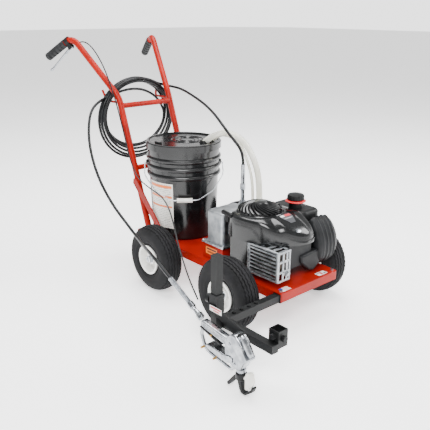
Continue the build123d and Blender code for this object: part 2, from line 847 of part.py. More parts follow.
with BuildPart() as muffler_guard:
    with Locations(guard_mid):
        Box(*guard_size)
    fillet(muffler_guard.edges().filter_by(Axis.Z), 8)
    with Locations((guard_mid[0] + 8, guard_mid[1], guard_mid[2])):
        Box(guard_size[0] - 8, guard_size[1] - 8, guard_size[2] - 8, mode=Mode.SUBTRACT)
    # louvres through the outer face
    with BuildSketch(Plane.YZ.offset(guard_x[0] - 2)):
        with Locations((guard_mid[1], guard_mid[2])):
            with GridLocations(0, 13, 1, 6):
                SlotOverall(guard_size[1] - 26, 6)
    extrude(amount=8, mode=Mode.SUBTRACT)
    # openings in the front face
    with BuildSketch(Plane.XZ.offset(-guard_y[0] + 2)):
        with Locations((guard_mid[0], guard_mid[2])):
            with GridLocations(0, 26, 1, 3):
                SlotOverall(guard_size[0] - 22, 14)
    extrude(amount=-8, mode=Mode.SUBTRACT)
save(muffler_guard.part, "muffler_guard")

tank_top_z = 384.0
cap_at = (106.0, -196.0)
with BuildPart() as fuel_tank:
    with BuildSketch(Plane.XY.offset(housing_z[0])):
        with Locations((cowl_left_x + 50.5, -176)):
            RectangleRounded(100, 168, 26)
    extrude(amount=68)
    fillet(fuel_tank.faces().sort_by(Axis.Z)[-1].edges(), 16)
    with BuildSketch(Plane.XY.offset(housing_z[0] + 60)):
        with Locations(cap_at):
            Circle(24)
    extrude(amount=tank_top_z - housing_z[0] - 60)
save(fuel_tank.part, "fuel_tank")

with BuildPart() as fuel_cap:
    with BuildSketch(Plane.XY.offset(tank_top_z + 0.3)):
        with Locations(cap_at):
            Circle(33)
    extrude(amount=4)
    with BuildSketch(Plane.XY.offset(tank_top_z + 4.3)):
        with Locations(cap_at):
            Circle(27)
    extrude(amount=22)
    with BuildSketch(Plane.XY.offset(tank_top_z + 8)):
        with Locations(cap_at):
            with PolarLocations(27.5, 18):
                Circle(1.6)
    extrude(amount=20, mode=Mode.SUBTRACT)
save(fuel_cap.part, "fuel_cap")

with BuildPart() as air_filter:
    with BuildSketch(Plane.YZ.offset(cowl_left_x + 2)):
        with BuildLine():
            Polyline(
                (-336, 206),
                (-336, 270),
                (-300, 338),
                (-274, 346),
                (-264, 300),
                (-264, 190),
                (-290, 168),
                close=True,
            )
        make_face()
        fillet(vertices(), 12)
    extrude(amount=104)
    fillet(air_filter.faces().sort_by(Axis.X)[-1].edges(), 10)
    # carburettor cover in front of the crankcase
    with Locations((cowl_left_x - 30, -322, 222)):
        Box(66, 40, 96)
save(air_filter.part, "air_filter")

# ---- gun arm ------------------------------------------------------------------------------
arm_inner_x = 90.0
with BuildPart() as arm_sleeve:
    with BuildSketch(Plane.YZ.offset(-deck_half_width)):
        with Locations((arm_y, arm_z)):
            Rectangle(sleeve_square, sleeve_square)
            Rectangle(square_tube + 2 * sleeve_gap, square_tube + 2 * sleeve_gap, mode=Mode.SUBTRACT)
    extrude(amount=deck_half_width + 60)
save(arm_sleeve.part, "arm_sleeve")

forward_x = arm_outer_x + square_tube + 14.0
forward_end_y = -566.0
block_at = (forward_x + square_tube / 2 + receiver_square / 2, forward_end_y + receiver_square / 2)
block_z = (132.0, 185.0)
receiver_wall = 3.0
with BuildPart() as gun_arm:
    # arm across the front of the deck
    with BuildSketch(Plane.YZ.offset(arm_outer_x)):
        with Locations((arm_y, arm_z)):
            Rectangle(square_tube, square_tube)
    extrude(amount=arm_inner_x - arm_outer_x)
    # upright post
    with BuildSketch(Plane.XY.offset(arm_z)):
        with Locations((post_x, arm_y)):
            Rectangle(square_tube, square_tube)
    extrude(amount=post_top_z - arm_z)
    # tube that runs forward
    with BuildSketch(Plane.XZ.offset(-arm_y)):
        with Locations((forward_x, arm_z)):
            Rectangle(square_tube, square_tube)
    extrude(amount=arm_y - forward_end_y)
    # square receiver at its end
    with BuildSketch(Plane.XY.offset(block_z[0])):
        with Locations(block_at):
            Rectangle(receiver_square, receiver_square)
            Rectangle(receiver_square - 2 * receiver_wall, receiver_square - 2 * receiver_wall, mode=Mode.SUBTRACT)
    extrude(amount=block_z[1] - block_z[0])
save(gun_arm.part, "gun_arm")

with BuildPart() as arm_knobs:
    # set screws: one on the receiver's front and one on its outer face
    with BuildSketch(Plane.XZ.offset(-(block_at[1] - receiver_square / 2))):
        with Locations((block_at[0], 160)):
            Circle(9)
    extrude(amount=10)
    with BuildSketch(Plane.YZ.offset(block_at[0] - receiver_square / 2)):
        with Locations((block_at[1], 166)):
            Circle(9)
    extrude(amount=-10)
save(arm_knobs.part, "arm_knobs")

# ---- gun holder and gun -------------------------------------------------------------------
holder_z = (179.0, 239.0)
holder_outer_x = post_x - sleeve_square / 2
holder_plate_x = (holder_outer_x - 6.0, holder_outer_x)
with BuildPart() as gun_holder:
    with BuildSketch(Plane.XY.offset(holder_z[0])):
        with Locations((post_x, arm_y)):
            Rectangle(sleeve_square, sleeve_square)
            Rectangle(square_tube + 2 * sleeve_gap, square_tube + 2 * sleeve_gap, mode=Mode.SUBTRACT)
    extrude(amount=holder_z[1] - holder_z[0])
    # plate that runs forward to the gun's head
    with BuildSketch(Plane.YZ.offset(holder_plate_x[0])):
        with BuildLine():
            Polyline(
                (arm_y + 16, 182),
                (arm_y + 16, 206),
                (arm_y - 30, 206),
                (-505, 176),
                (-505, 150),
                (-470, 150),
                (arm_y - 30, 176),
                close=True,
            )
        make_face()
    extrude(amount=6)
save(gun_holder.part, "gun_holder")

with BuildPart() as holder_knob:
    with BuildSketch(Plane.XZ.offset(-(arm_y + sleeve_square / 2))):
        with Locations((post_x, 212)):
            Circle(6)
    extrude(amount=-9)
    with BuildSketch(Plane.XZ.offset(-(arm_y + sleeve_square / 2 + 9))):
        with Locations((post_x, 212)):
            Circle(14)
    extrude(amount=-14)
save(holder_knob.part, "holder_knob")

gun_side = Plane.YZ.offset(gun_x)
head_half = holder_plate_x[0] - gun_x
barrel_y = -508.0
trigger_pin = (-484, 104)
with BuildPart() as gun_body:
    # cast head
    with BuildSketch(gun_side):
        with BuildLine():
            Polyline(
                (-470, 168),
                (-500, 182),
                (-520, 172),
                (-550, 124),
                (-530, 107),
                (-518, 80),
                (-488, 80),
                (-474, 92),
                (-462, 130),
                close=True,
            )
        make_face()
        fillet(vertices(), 4)
    extrude(amount=head_half - 4, both=True)
    # boss that meets the holder's plate
    with BuildSketch(Plane.YZ.offset(holder_plate_x[0])):
        with Locations((-490, 160)):
            Circle(9)
    extrude(amount=-8)
    # handle
    with BuildSketch(gun_side):
        with BuildLine():
            Polyline((-470, 126), (-470, 148), (-352, 178), (-342, 176), (-340, 152), (-350, 148), close=True)
        make_face()
        fillet(vertices(), 4)
    extrude(amount=10, both=True)
    # guard round the trigger
    with BuildSketch(gun_side):
        with BuildLine():
            Polyline(
                (-348, 150),
                (-334, 138),
                (-344, 92),
                (-372, 66),
                (-474, 56),
                (-494, 78),
                (-494, 84),
                (-486, 84),
                (-470, 64),
                (-374, 74),
                (-352, 96),
                (-342, 136),
                (-352, 150),
                close=True,
            )
        make_face()
    extrude(amount=4, both=True)
    # the pin that the trigger turns on
    with BuildSketch(gun_side):
        with Locations(trigger_pin):
            Circle(3)
    extrude(amount=head_half - 0.6, both=True)
    # nozzle seat
    with BuildSketch(Plane.XY.offset(82)):
        with Locations((gun_x, barrel_y)):
            Circle(15)
    extrude(amount=-14)
save(gun_body.part, "gun_body")

trigger_pin = (-484.0, 104.0)
with BuildPart() as gun_trigger:
    for cheek in (-1, 1):
        with BuildSketch(gun_side.offset(cheek * (head_half - 4 + 0.4))):
            with BuildLine():
                Polyline((-492, 98), (-492, 112), (-478, 114), (-454, 104), (-454, 92), (-478, 94), close=True)
            make_face()
            with Locations(trigger_pin):
                Circle(3 + running_gap, mode=Mode.SUBTRACT)
        extrude(amount=cheek * 3)
    with BuildSketch(gun_side):
        with BuildLine():
            Polyline((-457, 92), (-457, 106), (-380, 104), (-364, 98), (-364, 84), (-390, 86), close=True)
        make_face()
    extrude(amount=head_half - 4 + 3.4, both=True)
save(gun_trigger.part, "gun_trigger")

swivel_start = Vector(gun_x, -340.0, 166.0)
swivel_end = Vector(gun_x, -262.0, 206.0)
swivel_direction = unit(swivel_end - swivel_start)
swivel_plane = Plane(swivel_start, z_dir=swivel_direction)
swivel_length = 172.0
with BuildPart() as hose_swivel:
    with BuildSketch(swivel_plane.offset(2)):
        RegularPolygon(12, 6)
    extrude(amount=20)
    with BuildSketch(swivel_plane.offset(22)):
        Circle(8)
    extrude(amount=24)
    with BuildSketch(swivel_plane.offset(46)):
        RegularPolygon(11, 6)
    extrude(amount=22)
    # spring that guards the hose's end
    with BuildSketch(swivel_plane.offset(68)):
        Circle(8)
    extrude(amount=swivel_length - 68)
save(hose_swivel.part, "hose_swivel")

guard_top_z = 67.7
with BuildPart() as tip_guard:
    with BuildSketch(Plane.XY.offset(guard_top_z)):
        with Locations((gun_x, barrel_y)):
            Circle(17)
    extrude(amount=-20)
    with BuildSketch(Plane.XZ.offset(-barrel_y)):
        with BuildLine():
            Polyline(
                (gun_x - 14, 52),
                (gun_x - 46, 34),
                (gun_x - 46, 28),
                (gun_x - 10, 40),
                (gun_x - 8, 8),
                (gun_x - 3, 3),
                (gun_x + 3, 3),
                (gun_x + 8, 8),
                (gun_x + 10, 40),
                (gun_x + 46, 28),
                (gun_x + 46, 34),
                (gun_x + 14, 52),
                close=True,
            )
        make_face()
    extrude(amount=5, both=True)
    # cross hole for the spray tip
    with BuildSketch(Plane.XZ.offset(-barrel_y + 30)):
        with Locations((gun_x, 57)):
            Circle(6 + running_gap)
    extrude(amount=-60, mode=Mode.SUBTRACT)
save(tip_guard.part, "tip_guard")

with BuildPart() as spray_tip:
    with BuildSketch(Plane.XZ.offset(-barrel_y + 26)):
        with Locations((gun_x, 57)):
            Circle(6)
    extrude(amount=-43)
    with BuildSketch(Plane.XZ.offset(-barrel_y + 26)):
        with BuildLine():
            Polyline(
                (gun_x - 12, 74),
                (gun_x + 12, 74),
                (gun_x + 12, 30),
                (gun_x, 20),
                (gun_x - 12, 30),
                close=True,
            )
        make_face()
    extrude(amount=14)
save(spray_tip.part, "spray_tip")

# ---- cords --------------------------------------------------------------------------------
hose_od = 11.0
suction_od = 25.0
return_od = 12.0
cable_od = 5.0
coil_y = (613.0, 655.0)


def make_cord(points, diameter, name):
    """A plain tube along straight runs joined by arcs as large as the runs allow."""
    route = [Vector(*point) for point in points]
    runs = [b - a for a, b in zip(route, route[1:])]
    radii = []
    for before, after in zip(runs, runs[1:]):
        half_turn = math.radians(before.get_angle(after)) / 2
        radii.append(0.45 * min(before.length, after.length) / math.tan(half_turn))
    with BuildPart() as cord:
        with BuildLine() as path:
            FilletPolyline(*route, radius=radii)
        with BuildSketch(Plane(path.line @ 0, z_dir=path.line % 0)):
            Circle(diameter / 2)
        sweep(path=path.line)
    length = path.wire().length
    ratio = cord.part.volume / (math.pi * diameter**2 / 4 * length)
    print(name, "length", round(length), "volume ratio", round(ratio, 4))
    print("  runs", [round(run.length) for run in runs], "radii", [round(r) for r in radii])
    save(cord.part, name)


# the hose that isn't in use hangs in a ring on the two hooks
with BuildPart() as hose_coil:
    with BuildSketch(Plane.XZ.offset(-coil_y[1])):
        with Locations((0, 582)):
            Ellipse(192, 180)
        with Locations((0, 606)):
            Ellipse(153, 133, mode=Mode.SUBTRACT)
    extrude(amount=coil_y[1] - coil_y[0])
save(hose_coil.part, "hose_coil")

gun_hose_end = swivel_start + swivel_direction * swivel_length
gun_hose_lead = gun_hose_end + swivel_direction * 48
gun_hose_route = [
    (158, 643, 585),
    (140, 642, 630),
    (104, 641, 672),
    (45, 640, 703),
    (-22, 638, 712),
    (-80, 637, 707),
    (-134, 636, 690),
    (-188, 630, 670),
    (-240, 612, 645),
    (-284, 566, 575),
    (-318, 497, 497),
    (-336, 415, 412),
    (-336, 332, 336),
    (-334, 246, 284),
    (-350, 160, 262),
    (-378, 84, 262),
    (-412, 8, 272),
    (-442, -70, 280),
    (gun_hose_lead.X, gun_hose_lead.Y, gun_hose_lead.Z),
    (gun_hose_end.X, gun_hose_end.Y, gun_hose_end.Z),
]
make_cord(gun_hose_route, hose_od, "hose_to_gun")

pump_hose_route = [
    (122, 637, 702),
    (176, 630, 704),
    (186, 560, 704),
    (166, 455, 686),
    (134, 345, 668),
    (90, 235, 648),
    (38, 128, 624),
    (44, 78, 578),
    (outlet_at[0], outlet_at[1] + 2, 530),
    (outlet_at[0], outlet_at[1], manifold_top_z + 156.3),
]
make_cord(pump_hose_route, hose_od, "hose_to_pump")

suction_route = [
    (30, 222, pail_top_z + lid_thickness - 2),
    (46, 196, 566),
    (82, 144, 586),
    (118, 90, 558),
    (139, 48, 484),
    (145, 23, 398),
    (145, 23, 322),
]
make_cord(suction_route, suction_od, "suction_tube")

return_route = [
    (62, 214, pail_top_z + lid_thickness),
    (74, 196, 564),
    (100, 158, 570),
    (126, 112, 538),
    (132, 74, 466),
    (126, 40, 388),
    (126, 40, 316),
]
make_cord(return_route, return_od, "return_tube")

cable_route = [
    (-193, 792, 892),
    (-179, 771, 903),
    (-174, 740, 906),
    (-172, 700, 892),
    (-166, 660, 857),
    (-156, 624, 800),
    (-148, 594, 728),
    (-144, 566, 660),
    (-143, 540, 590),
    (-143, 514, 520),
    (-144, 488, 452),
    (-152, 442, 404),
    (-170, 380, 388),
    (-194, 312, 388),
    (-220, 240, 393),
    (-244, 170, 398),
    (-266, 100, 398),
    (-290, 36, 382),
    (-316, -22, 350),
    (-342, -74, 312),
    (-372, -132, 286),
    (-402, -190, 268),
    (-426, -246, 240),
    (-440, -298, 208),
]
make_cord(cable_route, cable_od, "trigger_cable")

# ---- fasteners ----------------------------------------------------------------------------
with BuildPart() as fasteners:
    # axle washers and nuts
    for side in (-1, 1):
        for axle_y in (front_axle_y, rear_axle_y):
            with BuildSketch(Plane.YZ.offset(side * (half_track + hub_half + 0.6))):
                with Locations((axle_y, axle_z)):
                    Circle(13)
                    Circle(axle_diameter / 2, mode=Mode.SUBTRACT)
            extrude(amount=side * 2)
            with BuildSketch(Plane.YZ.offset(side * (half_track + hub_half + 2.6))):
                with Locations((axle_y, axle_z)):
                    RegularPolygon(13, 6)
                    Circle(axle_diameter / 2, mode=Mode.SUBTRACT)
            extrude(amount=side * 9)
    # bolts in the deck's front corners
    for side in (-1, 1):
        with BuildSketch(Plane.XY.offset(deck_top_z)):
            with Locations((side * (deck_half_width - 14), deck_front_y + 14)):
                RegularPolygon(6, 6)
        extrude(amount=5)
    # bolts at the corners of the pump's plate
    with BuildSketch(Plane.XY.offset(plate_top_z)):
        with Locations(gearbox_mid):
            with GridLocations(gearbox_size[0] + 13, gearbox_size[1] + 13, 2, 2):
                RegularPolygon(5.5, 6)
    extrude(amount=5)
save(fasteners.part, "fasteners")
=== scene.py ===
import math

import bpy
from mathutils import Matrix, Vector


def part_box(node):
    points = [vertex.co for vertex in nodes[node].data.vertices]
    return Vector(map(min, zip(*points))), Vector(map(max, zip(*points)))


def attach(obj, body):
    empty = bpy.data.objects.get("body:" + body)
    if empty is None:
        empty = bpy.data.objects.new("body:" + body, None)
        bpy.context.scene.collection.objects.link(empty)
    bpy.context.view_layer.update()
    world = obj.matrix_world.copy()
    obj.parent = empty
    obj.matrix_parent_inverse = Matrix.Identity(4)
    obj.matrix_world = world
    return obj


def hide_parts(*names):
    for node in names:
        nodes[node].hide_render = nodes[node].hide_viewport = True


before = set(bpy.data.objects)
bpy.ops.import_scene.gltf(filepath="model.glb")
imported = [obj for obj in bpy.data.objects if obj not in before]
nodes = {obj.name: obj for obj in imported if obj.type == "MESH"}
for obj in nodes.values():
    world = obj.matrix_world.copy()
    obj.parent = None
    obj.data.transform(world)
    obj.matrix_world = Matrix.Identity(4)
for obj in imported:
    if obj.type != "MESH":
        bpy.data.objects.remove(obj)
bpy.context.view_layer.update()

# ---- camera, floor and light --------------------------------------------------------------
# A walk-behind machine seen from its front right corner, a little above the engine.
# It stands on a pale studio floor under large soft lights.
camera_data = bpy.data.cameras.new("studio_camera")
camera_data.lens = 50.13
camera_data.sensor_width = 36.0
camera_data.clip_end = 40.0
camera = bpy.data.objects.new("studio_camera", camera_data)
bpy.context.scene.collection.objects.link(camera)
turn_to_machine = Matrix.Rotation(math.radians(-41.68), 4, "Z")
tilt_down = Matrix.Rotation(math.radians(90.0 - 18.85), 4, "X")
roll = Matrix.Rotation(math.radians(0.29), 4, "Z")
camera.rotation_euler = (turn_to_machine @ tilt_down @ roll).to_euler()
camera.location = (-1.4798, -1.5410, 1.0295)
bpy.context.scene.camera = camera


def srgb(text):
    """The linear colour of a hex value such as #c8c8c8."""
    levels = [int(text[i : i + 2], 16) / 255 for i in (1, 3, 5)]
    return [v / 12.92 if v <= 0.04045 else ((v + 0.055) / 1.055) ** 2.4 for v in levels] + [1.0]


def add_node(material, kind, inputs=None, **settings):
    """Adds a shader node. An input that is a socket is linked, and any other is set."""
    node = material.node_tree.nodes.new(kind)
    for name, value in settings.items():
        setattr(node, name, value)
    for name, value in (inputs or {}).items():
        if isinstance(value, bpy.types.NodeSocket):
            material.node_tree.links.new(value, node.inputs[name])
        else:
            node.inputs[name].default_value = value
    return node


def start_material(name, colour, roughness, metallic=0.0):
    """A principled material with its plain values, and its shader to link the rest to."""
    material = bpy.data.materials.new(name)
    material.use_nodes = True
    material.diffuse_color = srgb(colour)
    shader = material.node_tree.nodes["Principled BSDF"]
    shader.inputs["Base Color"].default_value = srgb(colour)
    shader.inputs["Roughness"].default_value = roughness
    shader.inputs["Metallic"].default_value = metallic
    return material, shader


def uneven(material, shader, colours, roughness, patch, grain, depth):
    """Colour and gloss that wander over patches of that size, and a grain in relief, in metres."""
    place = add_node(material, "ShaderNodeTexCoord").outputs["Object"]
    wander = add_node(
        material, "ShaderNodeTexNoise", {"Vector": place, "Scale": 1 / patch, "Detail": 5.0}
    ).outputs["Fac"]
    if colours:
        ramp = add_node(material, "ShaderNodeValToRGB", {"Fac": wander})
        ramp.color_ramp.elements[0].position = 0.35
        ramp.color_ramp.elements[1].position = 0.68
        ramp.color_ramp.elements[0].color = srgb(colours[0])
        ramp.color_ramp.elements[1].color = srgb(colours[1])
        material.node_tree.links.new(ramp.outputs["Color"], shader.inputs["Base Color"])
    gloss = add_node(
        material,
        "ShaderNodeMapRange",
        {
            "Value": wander,
            "From Min": 0.3,
            "From Max": 0.7,
            "To Min": roughness[0],
            "To Max": roughness[1],
        },
    )
    material.node_tree.links.new(gloss.outputs["Result"], shader.inputs["Roughness"])
    relief = add_node(
        material, "ShaderNodeTexNoise", {"Vector": place, "Scale": 1 / grain, "Detail": 3.0}
    )
    bump = add_node(
        material,
        "ShaderNodeBump",
        {"Height": relief.outputs["Fac"], "Distance": depth, "Strength": 1.0},
    )
    material.node_tree.links.new(bump.outputs["Normal"], shader.inputs["Normal"])
    return place


def mottled(name, colour, gloss, metal, colours, roughness, patch, grain, depth, specular=0.5):
    """A finished material: its plain values, and its wandering colour, gloss and grain."""
    material, shader = start_material(name, colour, gloss, metal)
    shader.inputs["Specular IOR Level"].default_value = specular
    uneven(material, shader, colours, roughness, patch, grain, depth)
    return material


def dress(material, *names):
    """Gives CAD nodes this material."""
    for name in names:
        nodes[name].data.materials.clear()
        nodes[name].data.materials.append(material)


bpy.ops.mesh.primitive_plane_add(size=60.0, location=(0, 0, 0))
floor = bpy.context.object
floor.name = "studio_floor"
floor_paint, floor_shader = start_material("studio_floor_paint", "#fbfbfb", 0.8)
uneven(floor_paint, floor_shader, ("#f9f9f9", "#fdfdfd"), (0.7, 0.8), 0.6, 0.004, 0.00005)
floor_shader.inputs["Emission Color"].default_value = srgb("#ffffff")
floor_shader.inputs["Emission Strength"].default_value = 0.9
floor.data.materials.append(floor_paint)

world = bpy.data.worlds.new("studio_air")
bpy.context.scene.world = world
world.use_nodes = True
world.node_tree.nodes["Background"].inputs["Color"].default_value = srgb("#ffffff")
# a pale horizon under a dimmer room, so that bright metal has something dark to mirror
outlook = add_node(world, "ShaderNodeTexCoord").outputs["Generated"]
height = add_node(world, "ShaderNodeSeparateXYZ", {"Vector": outlook}).outputs["Z"]
strength = add_node(
    world,
    "ShaderNodeMapRange",
    {"Value": height, "From Min": 0.04, "From Max": 0.30, "To Min": 2.6, "To Max": 0.6},
)
world.node_tree.links.new(
    strength.outputs["Result"], world.node_tree.nodes["Background"].inputs["Strength"]
)

softboxes = {
    "key_softbox": ((-2.4, -2.2, 3.2), 260.0, 2.0),
    "side_softbox": ((2.6, -1.6, 2.2), 110.0, 1.6),
    "top_softbox": ((0.2, 0.6, 3.4), 240.0, 2.6),
}
for light_name, (place, power, size) in softboxes.items():
    light_data = bpy.data.lights.new(light_name, "AREA")
    light_data.energy = power
    light_data.size = size
    light = bpy.data.objects.new(light_name, light_data)
    bpy.context.scene.collection.objects.link(light)
    light.location = place
    light.rotation_euler = (Vector((0, 0, 0.4)) - Vector(place)).to_track_quat("-Z", "Y").to_euler()

# ---- paint hose ---------------------------------------------------------------------------
# A 1/4 inch airless paint hose: a nylon core and braid under a black polyurethane cover.
# It runs from the pump, winds on the two hooks behind the handle, and comes down to the gun.
hose_diameter = 0.011
pump_side = [
    (0.060, 0.030, 0.4823),
    (0.060, 0.032, 0.530),
    (0.044, 0.078, 0.578),
    (0.038, 0.128, 0.624),
    (0.090, 0.235, 0.648),
    (0.134, 0.345, 0.668),
    (0.166, 0.455, 0.686),
    (0.186, 0.560, 0.704),
    (0.176, 0.626, 0.710),
    (0.124, 0.648, 0.7235),
]
# each turn's half width, top, bottom and place along the hooks
coil_turns = [
    (0.1865, 0.7558, 0.407, 0.6485),
    (0.1820, 0.7558, 0.417, 0.6345),
    (0.1780, 0.7558, 0.430, 0.6205),
    (0.1650, 0.7440, 0.447, 0.6195),
    (0.1630, 0.7440, 0.459, 0.6335),
    (0.1585, 0.7440, 0.467, 0.6475),
]
points_per_turn = 12
# a quadratic spline runs inside its control points by this much
outside = 1.035
coil_points = []
for turn, first in enumerate(coil_turns):
    second = coil_turns[min(turn + 1, len(coil_turns) - 1)]
    for step in range(points_per_turn):
        share = step / points_per_turn
        angle = math.radians(60) + 2 * math.pi * share
        half_width, top, bottom, along = (a + (b - a) * share for a, b in zip(first, second))
        middle = (top + bottom) / 2
        coil_points.append(
            (
                outside * half_width * math.cos(angle),
                along,
                middle + outside * (top - bottom) / 2 * math.sin(angle),
            )
        )
# the last turn leaves the ring on the far side and crosses inside it
coil_points = coil_points[:-2]
gun_side = [
    (0.155, 0.643, 0.590),
    (0.138, 0.642, 0.630),
    (0.104, 0.641, 0.672),
    (0.048, 0.640, 0.702),
    (-0.010, 0.638, 0.712),
    (-0.070, 0.637, 0.708),
    (-0.130, 0.637, 0.690),
    (-0.184, 0.632, 0.676),
    (-0.240, 0.612, 0.645),
    (-0.284, 0.566, 0.575),
    (-0.318, 0.497, 0.497),
    (-0.336, 0.415, 0.412),
    (-0.336, 0.332, 0.336),
    (-0.334, 0.246, 0.284),
    (-0.350, 0.160, 0.262),
    (-0.378, 0.084, 0.262),
    (-0.412, 0.008, 0.272),
    (-0.442, -0.070, 0.280),
    (-0.458, -0.138, 0.270),
    (-0.458, -0.184, 0.2465),
]


def lay_cord(name, points, diameter):
    """A round cord whose line is a smooth spline through the pull of these points."""
    curve = bpy.data.curves.new(name, "CURVE")
    curve.dimensions = "3D"
    curve.resolution_u = 6
    curve.bevel_depth = diameter / 2
    curve.bevel_resolution = 3
    curve.use_fill_caps = True
    spline = curve.splines.new("NURBS")
    spline.points.add(len(points) - 1)
    for point, place in zip(spline.points, points):
        point.co = (*place, 1.0)
    spline.order_u = 3
    spline.use_endpoint_u = True
    cord = bpy.data.objects.new(name, curve)
    bpy.context.scene.collection.objects.link(cord)
    return cord


def cord_length(cord):
    """The length of a cord's line."""
    bevel = cord.data.bevel_depth
    cord.data.bevel_depth = 0.0
    line = bpy.data.meshes.new_from_object(cord)
    cord.data.bevel_depth = bevel
    places = [vertex.co for vertex in line.vertices]
    bpy.data.meshes.remove(line)
    return sum((b - a).length for a, b in zip(places, places[1:]))


paint_hose = lay_cord("paint_hose", pump_side + coil_points + gun_side, hose_diameter)
hose_rubber = mottled(
    "black_polyurethane_hose", "#131415", 0.3, 0.0,
    ("#0f1011", "#1b1c1e"), (0.24, 0.42), 0.03, 0.0016, 0.00012, specular=0.18,
)
paint_hose.data.materials.append(hose_rubber)
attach(paint_hose, "cart")
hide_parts("hose_coil", "hose_to_gun", "hose_to_pump")

# ---- suction and return tubes -------------------------------------------------------------
# Clear soft vinyl tubes, a little milky with age, from the pail's lid to the pump.
# The wide one draws the paint and the narrow one brings back what isn't sprayed.
tube_vinyl, tube_shader = start_material("clear_soft_vinyl", "#dddccb", 0.22)
tube_shader.inputs["Transmission Weight"].default_value = 0.45
tube_shader.inputs["IOR"].default_value = 1.3
uneven(tube_vinyl, tube_shader, ("#dcdacb", "#efeee6"), (0.12, 0.22), 0.06, 0.012, 0.00008)
tube_routes = {
    "suction_hose": (
        0.025,
        [
            (0.030, 0.222, 0.536),
            (0.046, 0.196, 0.566),
            (0.082, 0.144, 0.586),
            (0.118, 0.090, 0.558),
            (0.139, 0.048, 0.484),
            (0.145, 0.023, 0.398),
            (0.145, 0.023, 0.322),
        ],
        "suction_tube",
    ),
    "return_hose": (
        0.012,
        [
            (0.062, 0.214, 0.538),
            (0.074, 0.196, 0.564),
            (0.100, 0.158, 0.570),
            (0.126, 0.112, 0.538),
            (0.132, 0.074, 0.466),
            (0.126, 0.040, 0.388),
            (0.126, 0.040, 0.316),
        ],
        "return_tube",
    ),
}
for tube_name, (tube_diameter, route, cad_tube) in tube_routes.items():
    tube = lay_cord(tube_name, route, tube_diameter)
    tube.data.bevel_resolution = 6
    tube.data.materials.append(tube_vinyl)
    length = cord_length(tube)
    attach(tube, "cart")
    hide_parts(cad_tube)

# ---- trigger cable ------------------------------------------------------------------------
# A bicycle brake cable in a black lined housing, from the lever to the gun's trigger.
# It is tied to the right rail as far as the brace and hangs free from there.
cable_points = [
    (-0.1955, 0.7925, 0.8935),
    (-0.184, 0.772, 0.902),
    (-0.176, 0.740, 0.906),
    (-0.172, 0.700, 0.892),
    (-0.166, 0.660, 0.857),
    (-0.156, 0.624, 0.800),
    (-0.148, 0.594, 0.728),
    (-0.144, 0.566, 0.660),
    (-0.143, 0.540, 0.590),
    (-0.143, 0.514, 0.520),
    (-0.144, 0.488, 0.452),
    (-0.152, 0.442, 0.404),
    (-0.170, 0.380, 0.388),
    (-0.194, 0.312, 0.388),
    (-0.220, 0.240, 0.393),
    (-0.244, 0.170, 0.398),
    (-0.266, 0.100, 0.398),
    (-0.290, 0.036, 0.382),
    (-0.316, -0.022, 0.350),
    (-0.342, -0.074, 0.312),
    (-0.372, -0.132, 0.286),
    (-0.402, -0.190, 0.268),
    (-0.426, -0.246, 0.240),
    (-0.440, -0.298, 0.208),
]
cable = lay_cord("brake_cable", cable_points, 0.005)
cable_vinyl = mottled(
    "black_cable_housing", "#121212", 0.35, 0.0,
    ("#0e0e0f", "#191a1b"), (0.3, 0.45), 0.02, 0.001, 0.00004, specular=0.18,
)
cable.data.materials.append(cable_vinyl)
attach(cable, "cart")
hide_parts("trigger_cable")

# ---- painted steel frame ------------------------------------------------------------------
# Deck, handle, struts and pump riser are mild steel under a glossy orange-red powder coat.
# Baked powder shows a fine orange peel and dulls a little where hands and boots rub it.
red_coat = mottled(
    "red_powder_coat", "#a81503", 0.34, 0.0,
    ("#7d0b01", "#951103"), (0.28, 0.42), 0.09, 0.0022, 0.00009, specular=0.14,
)
dress(red_coat, "deck", "handle_rails", "brace_struts", "pump_riser")

# Arm, sleeve, axle blocks and the lever's bracket have a satin black coat.
black_coat = mottled(
    "black_powder_coat", "#141516", 0.42, 0.0,
    ("#0b0c0c", "#141516"), (0.38, 0.55), 0.05, 0.0014, 0.00008, specular=0.18,
)
dress(black_coat, "axle_blocks", "arm_sleeve", "gun_arm", "gun_holder", "lever_bracket")

# ---- bright metals ------------------------------------------------------------------------
# Zinc plate on axles, screws, the bail and the pump's steel; it is pale with cloudy patches.
zinc = mottled(
    "zinc_plated_steel", "#b9bdc2", 0.3, 1.0,
    ("#a3a8ae", "#cfd2d6"), (0.22, 0.42), 0.012, 0.0008, 0.00003,
)
dress(zinc, "axles", "wheel_bearings", "pump_plate", "pump_manifold", "fasteners", "pail_bail")
dress(zinc, "suction_strainer")

# Die-cast aluminium of the gearbox and the muffler's guard, with a fine sandy skin.
cast = mottled(
    "die_cast_aluminium", "#b4b7ba", 0.38, 1.0,
    ("#85898d", "#b0b3b6"), (0.3, 0.5), 0.025, 0.0011, 0.00016,
)
dress(cast, "gearbox", "muffler_guard")

# The gun is a forged and polished casting, and its trigger, swivel and spring are chromed.
polished = mottled(
    "polished_aluminium", "#b4b7bb", 0.16, 1.0,
    ("#83868b", "#b4b7bb"), (0.12, 0.3), 0.02, 0.006, 0.00025,
)
dress(polished, "gun_body", "gun_trigger", "trigger_lever", "hose_swivel", "outlet_fitting")

# Grey cast iron of pulleys, crankshaft and flywheel, oiled dark.
iron = mottled(
    "oiled_cast_iron", "#3f4144", 0.5, 1.0,
    ("#34363a", "#515458"), (0.42, 0.6), 0.02, 0.0012, 0.0002,
)
dress(iron, "pump_pulley", "engine_pulley", "crankshaft", "flywheel")

# Sheet steel of the muffler, blued and browned by heat.
muffler_steel = mottled(
    "heat_stained_steel", "#5a534d", 0.5, 1.0,
    ("#47413d", "#7a6f66"), (0.4, 0.6), 0.02, 0.0012, 0.0001,
)
dress(muffler_steel, "muffler")

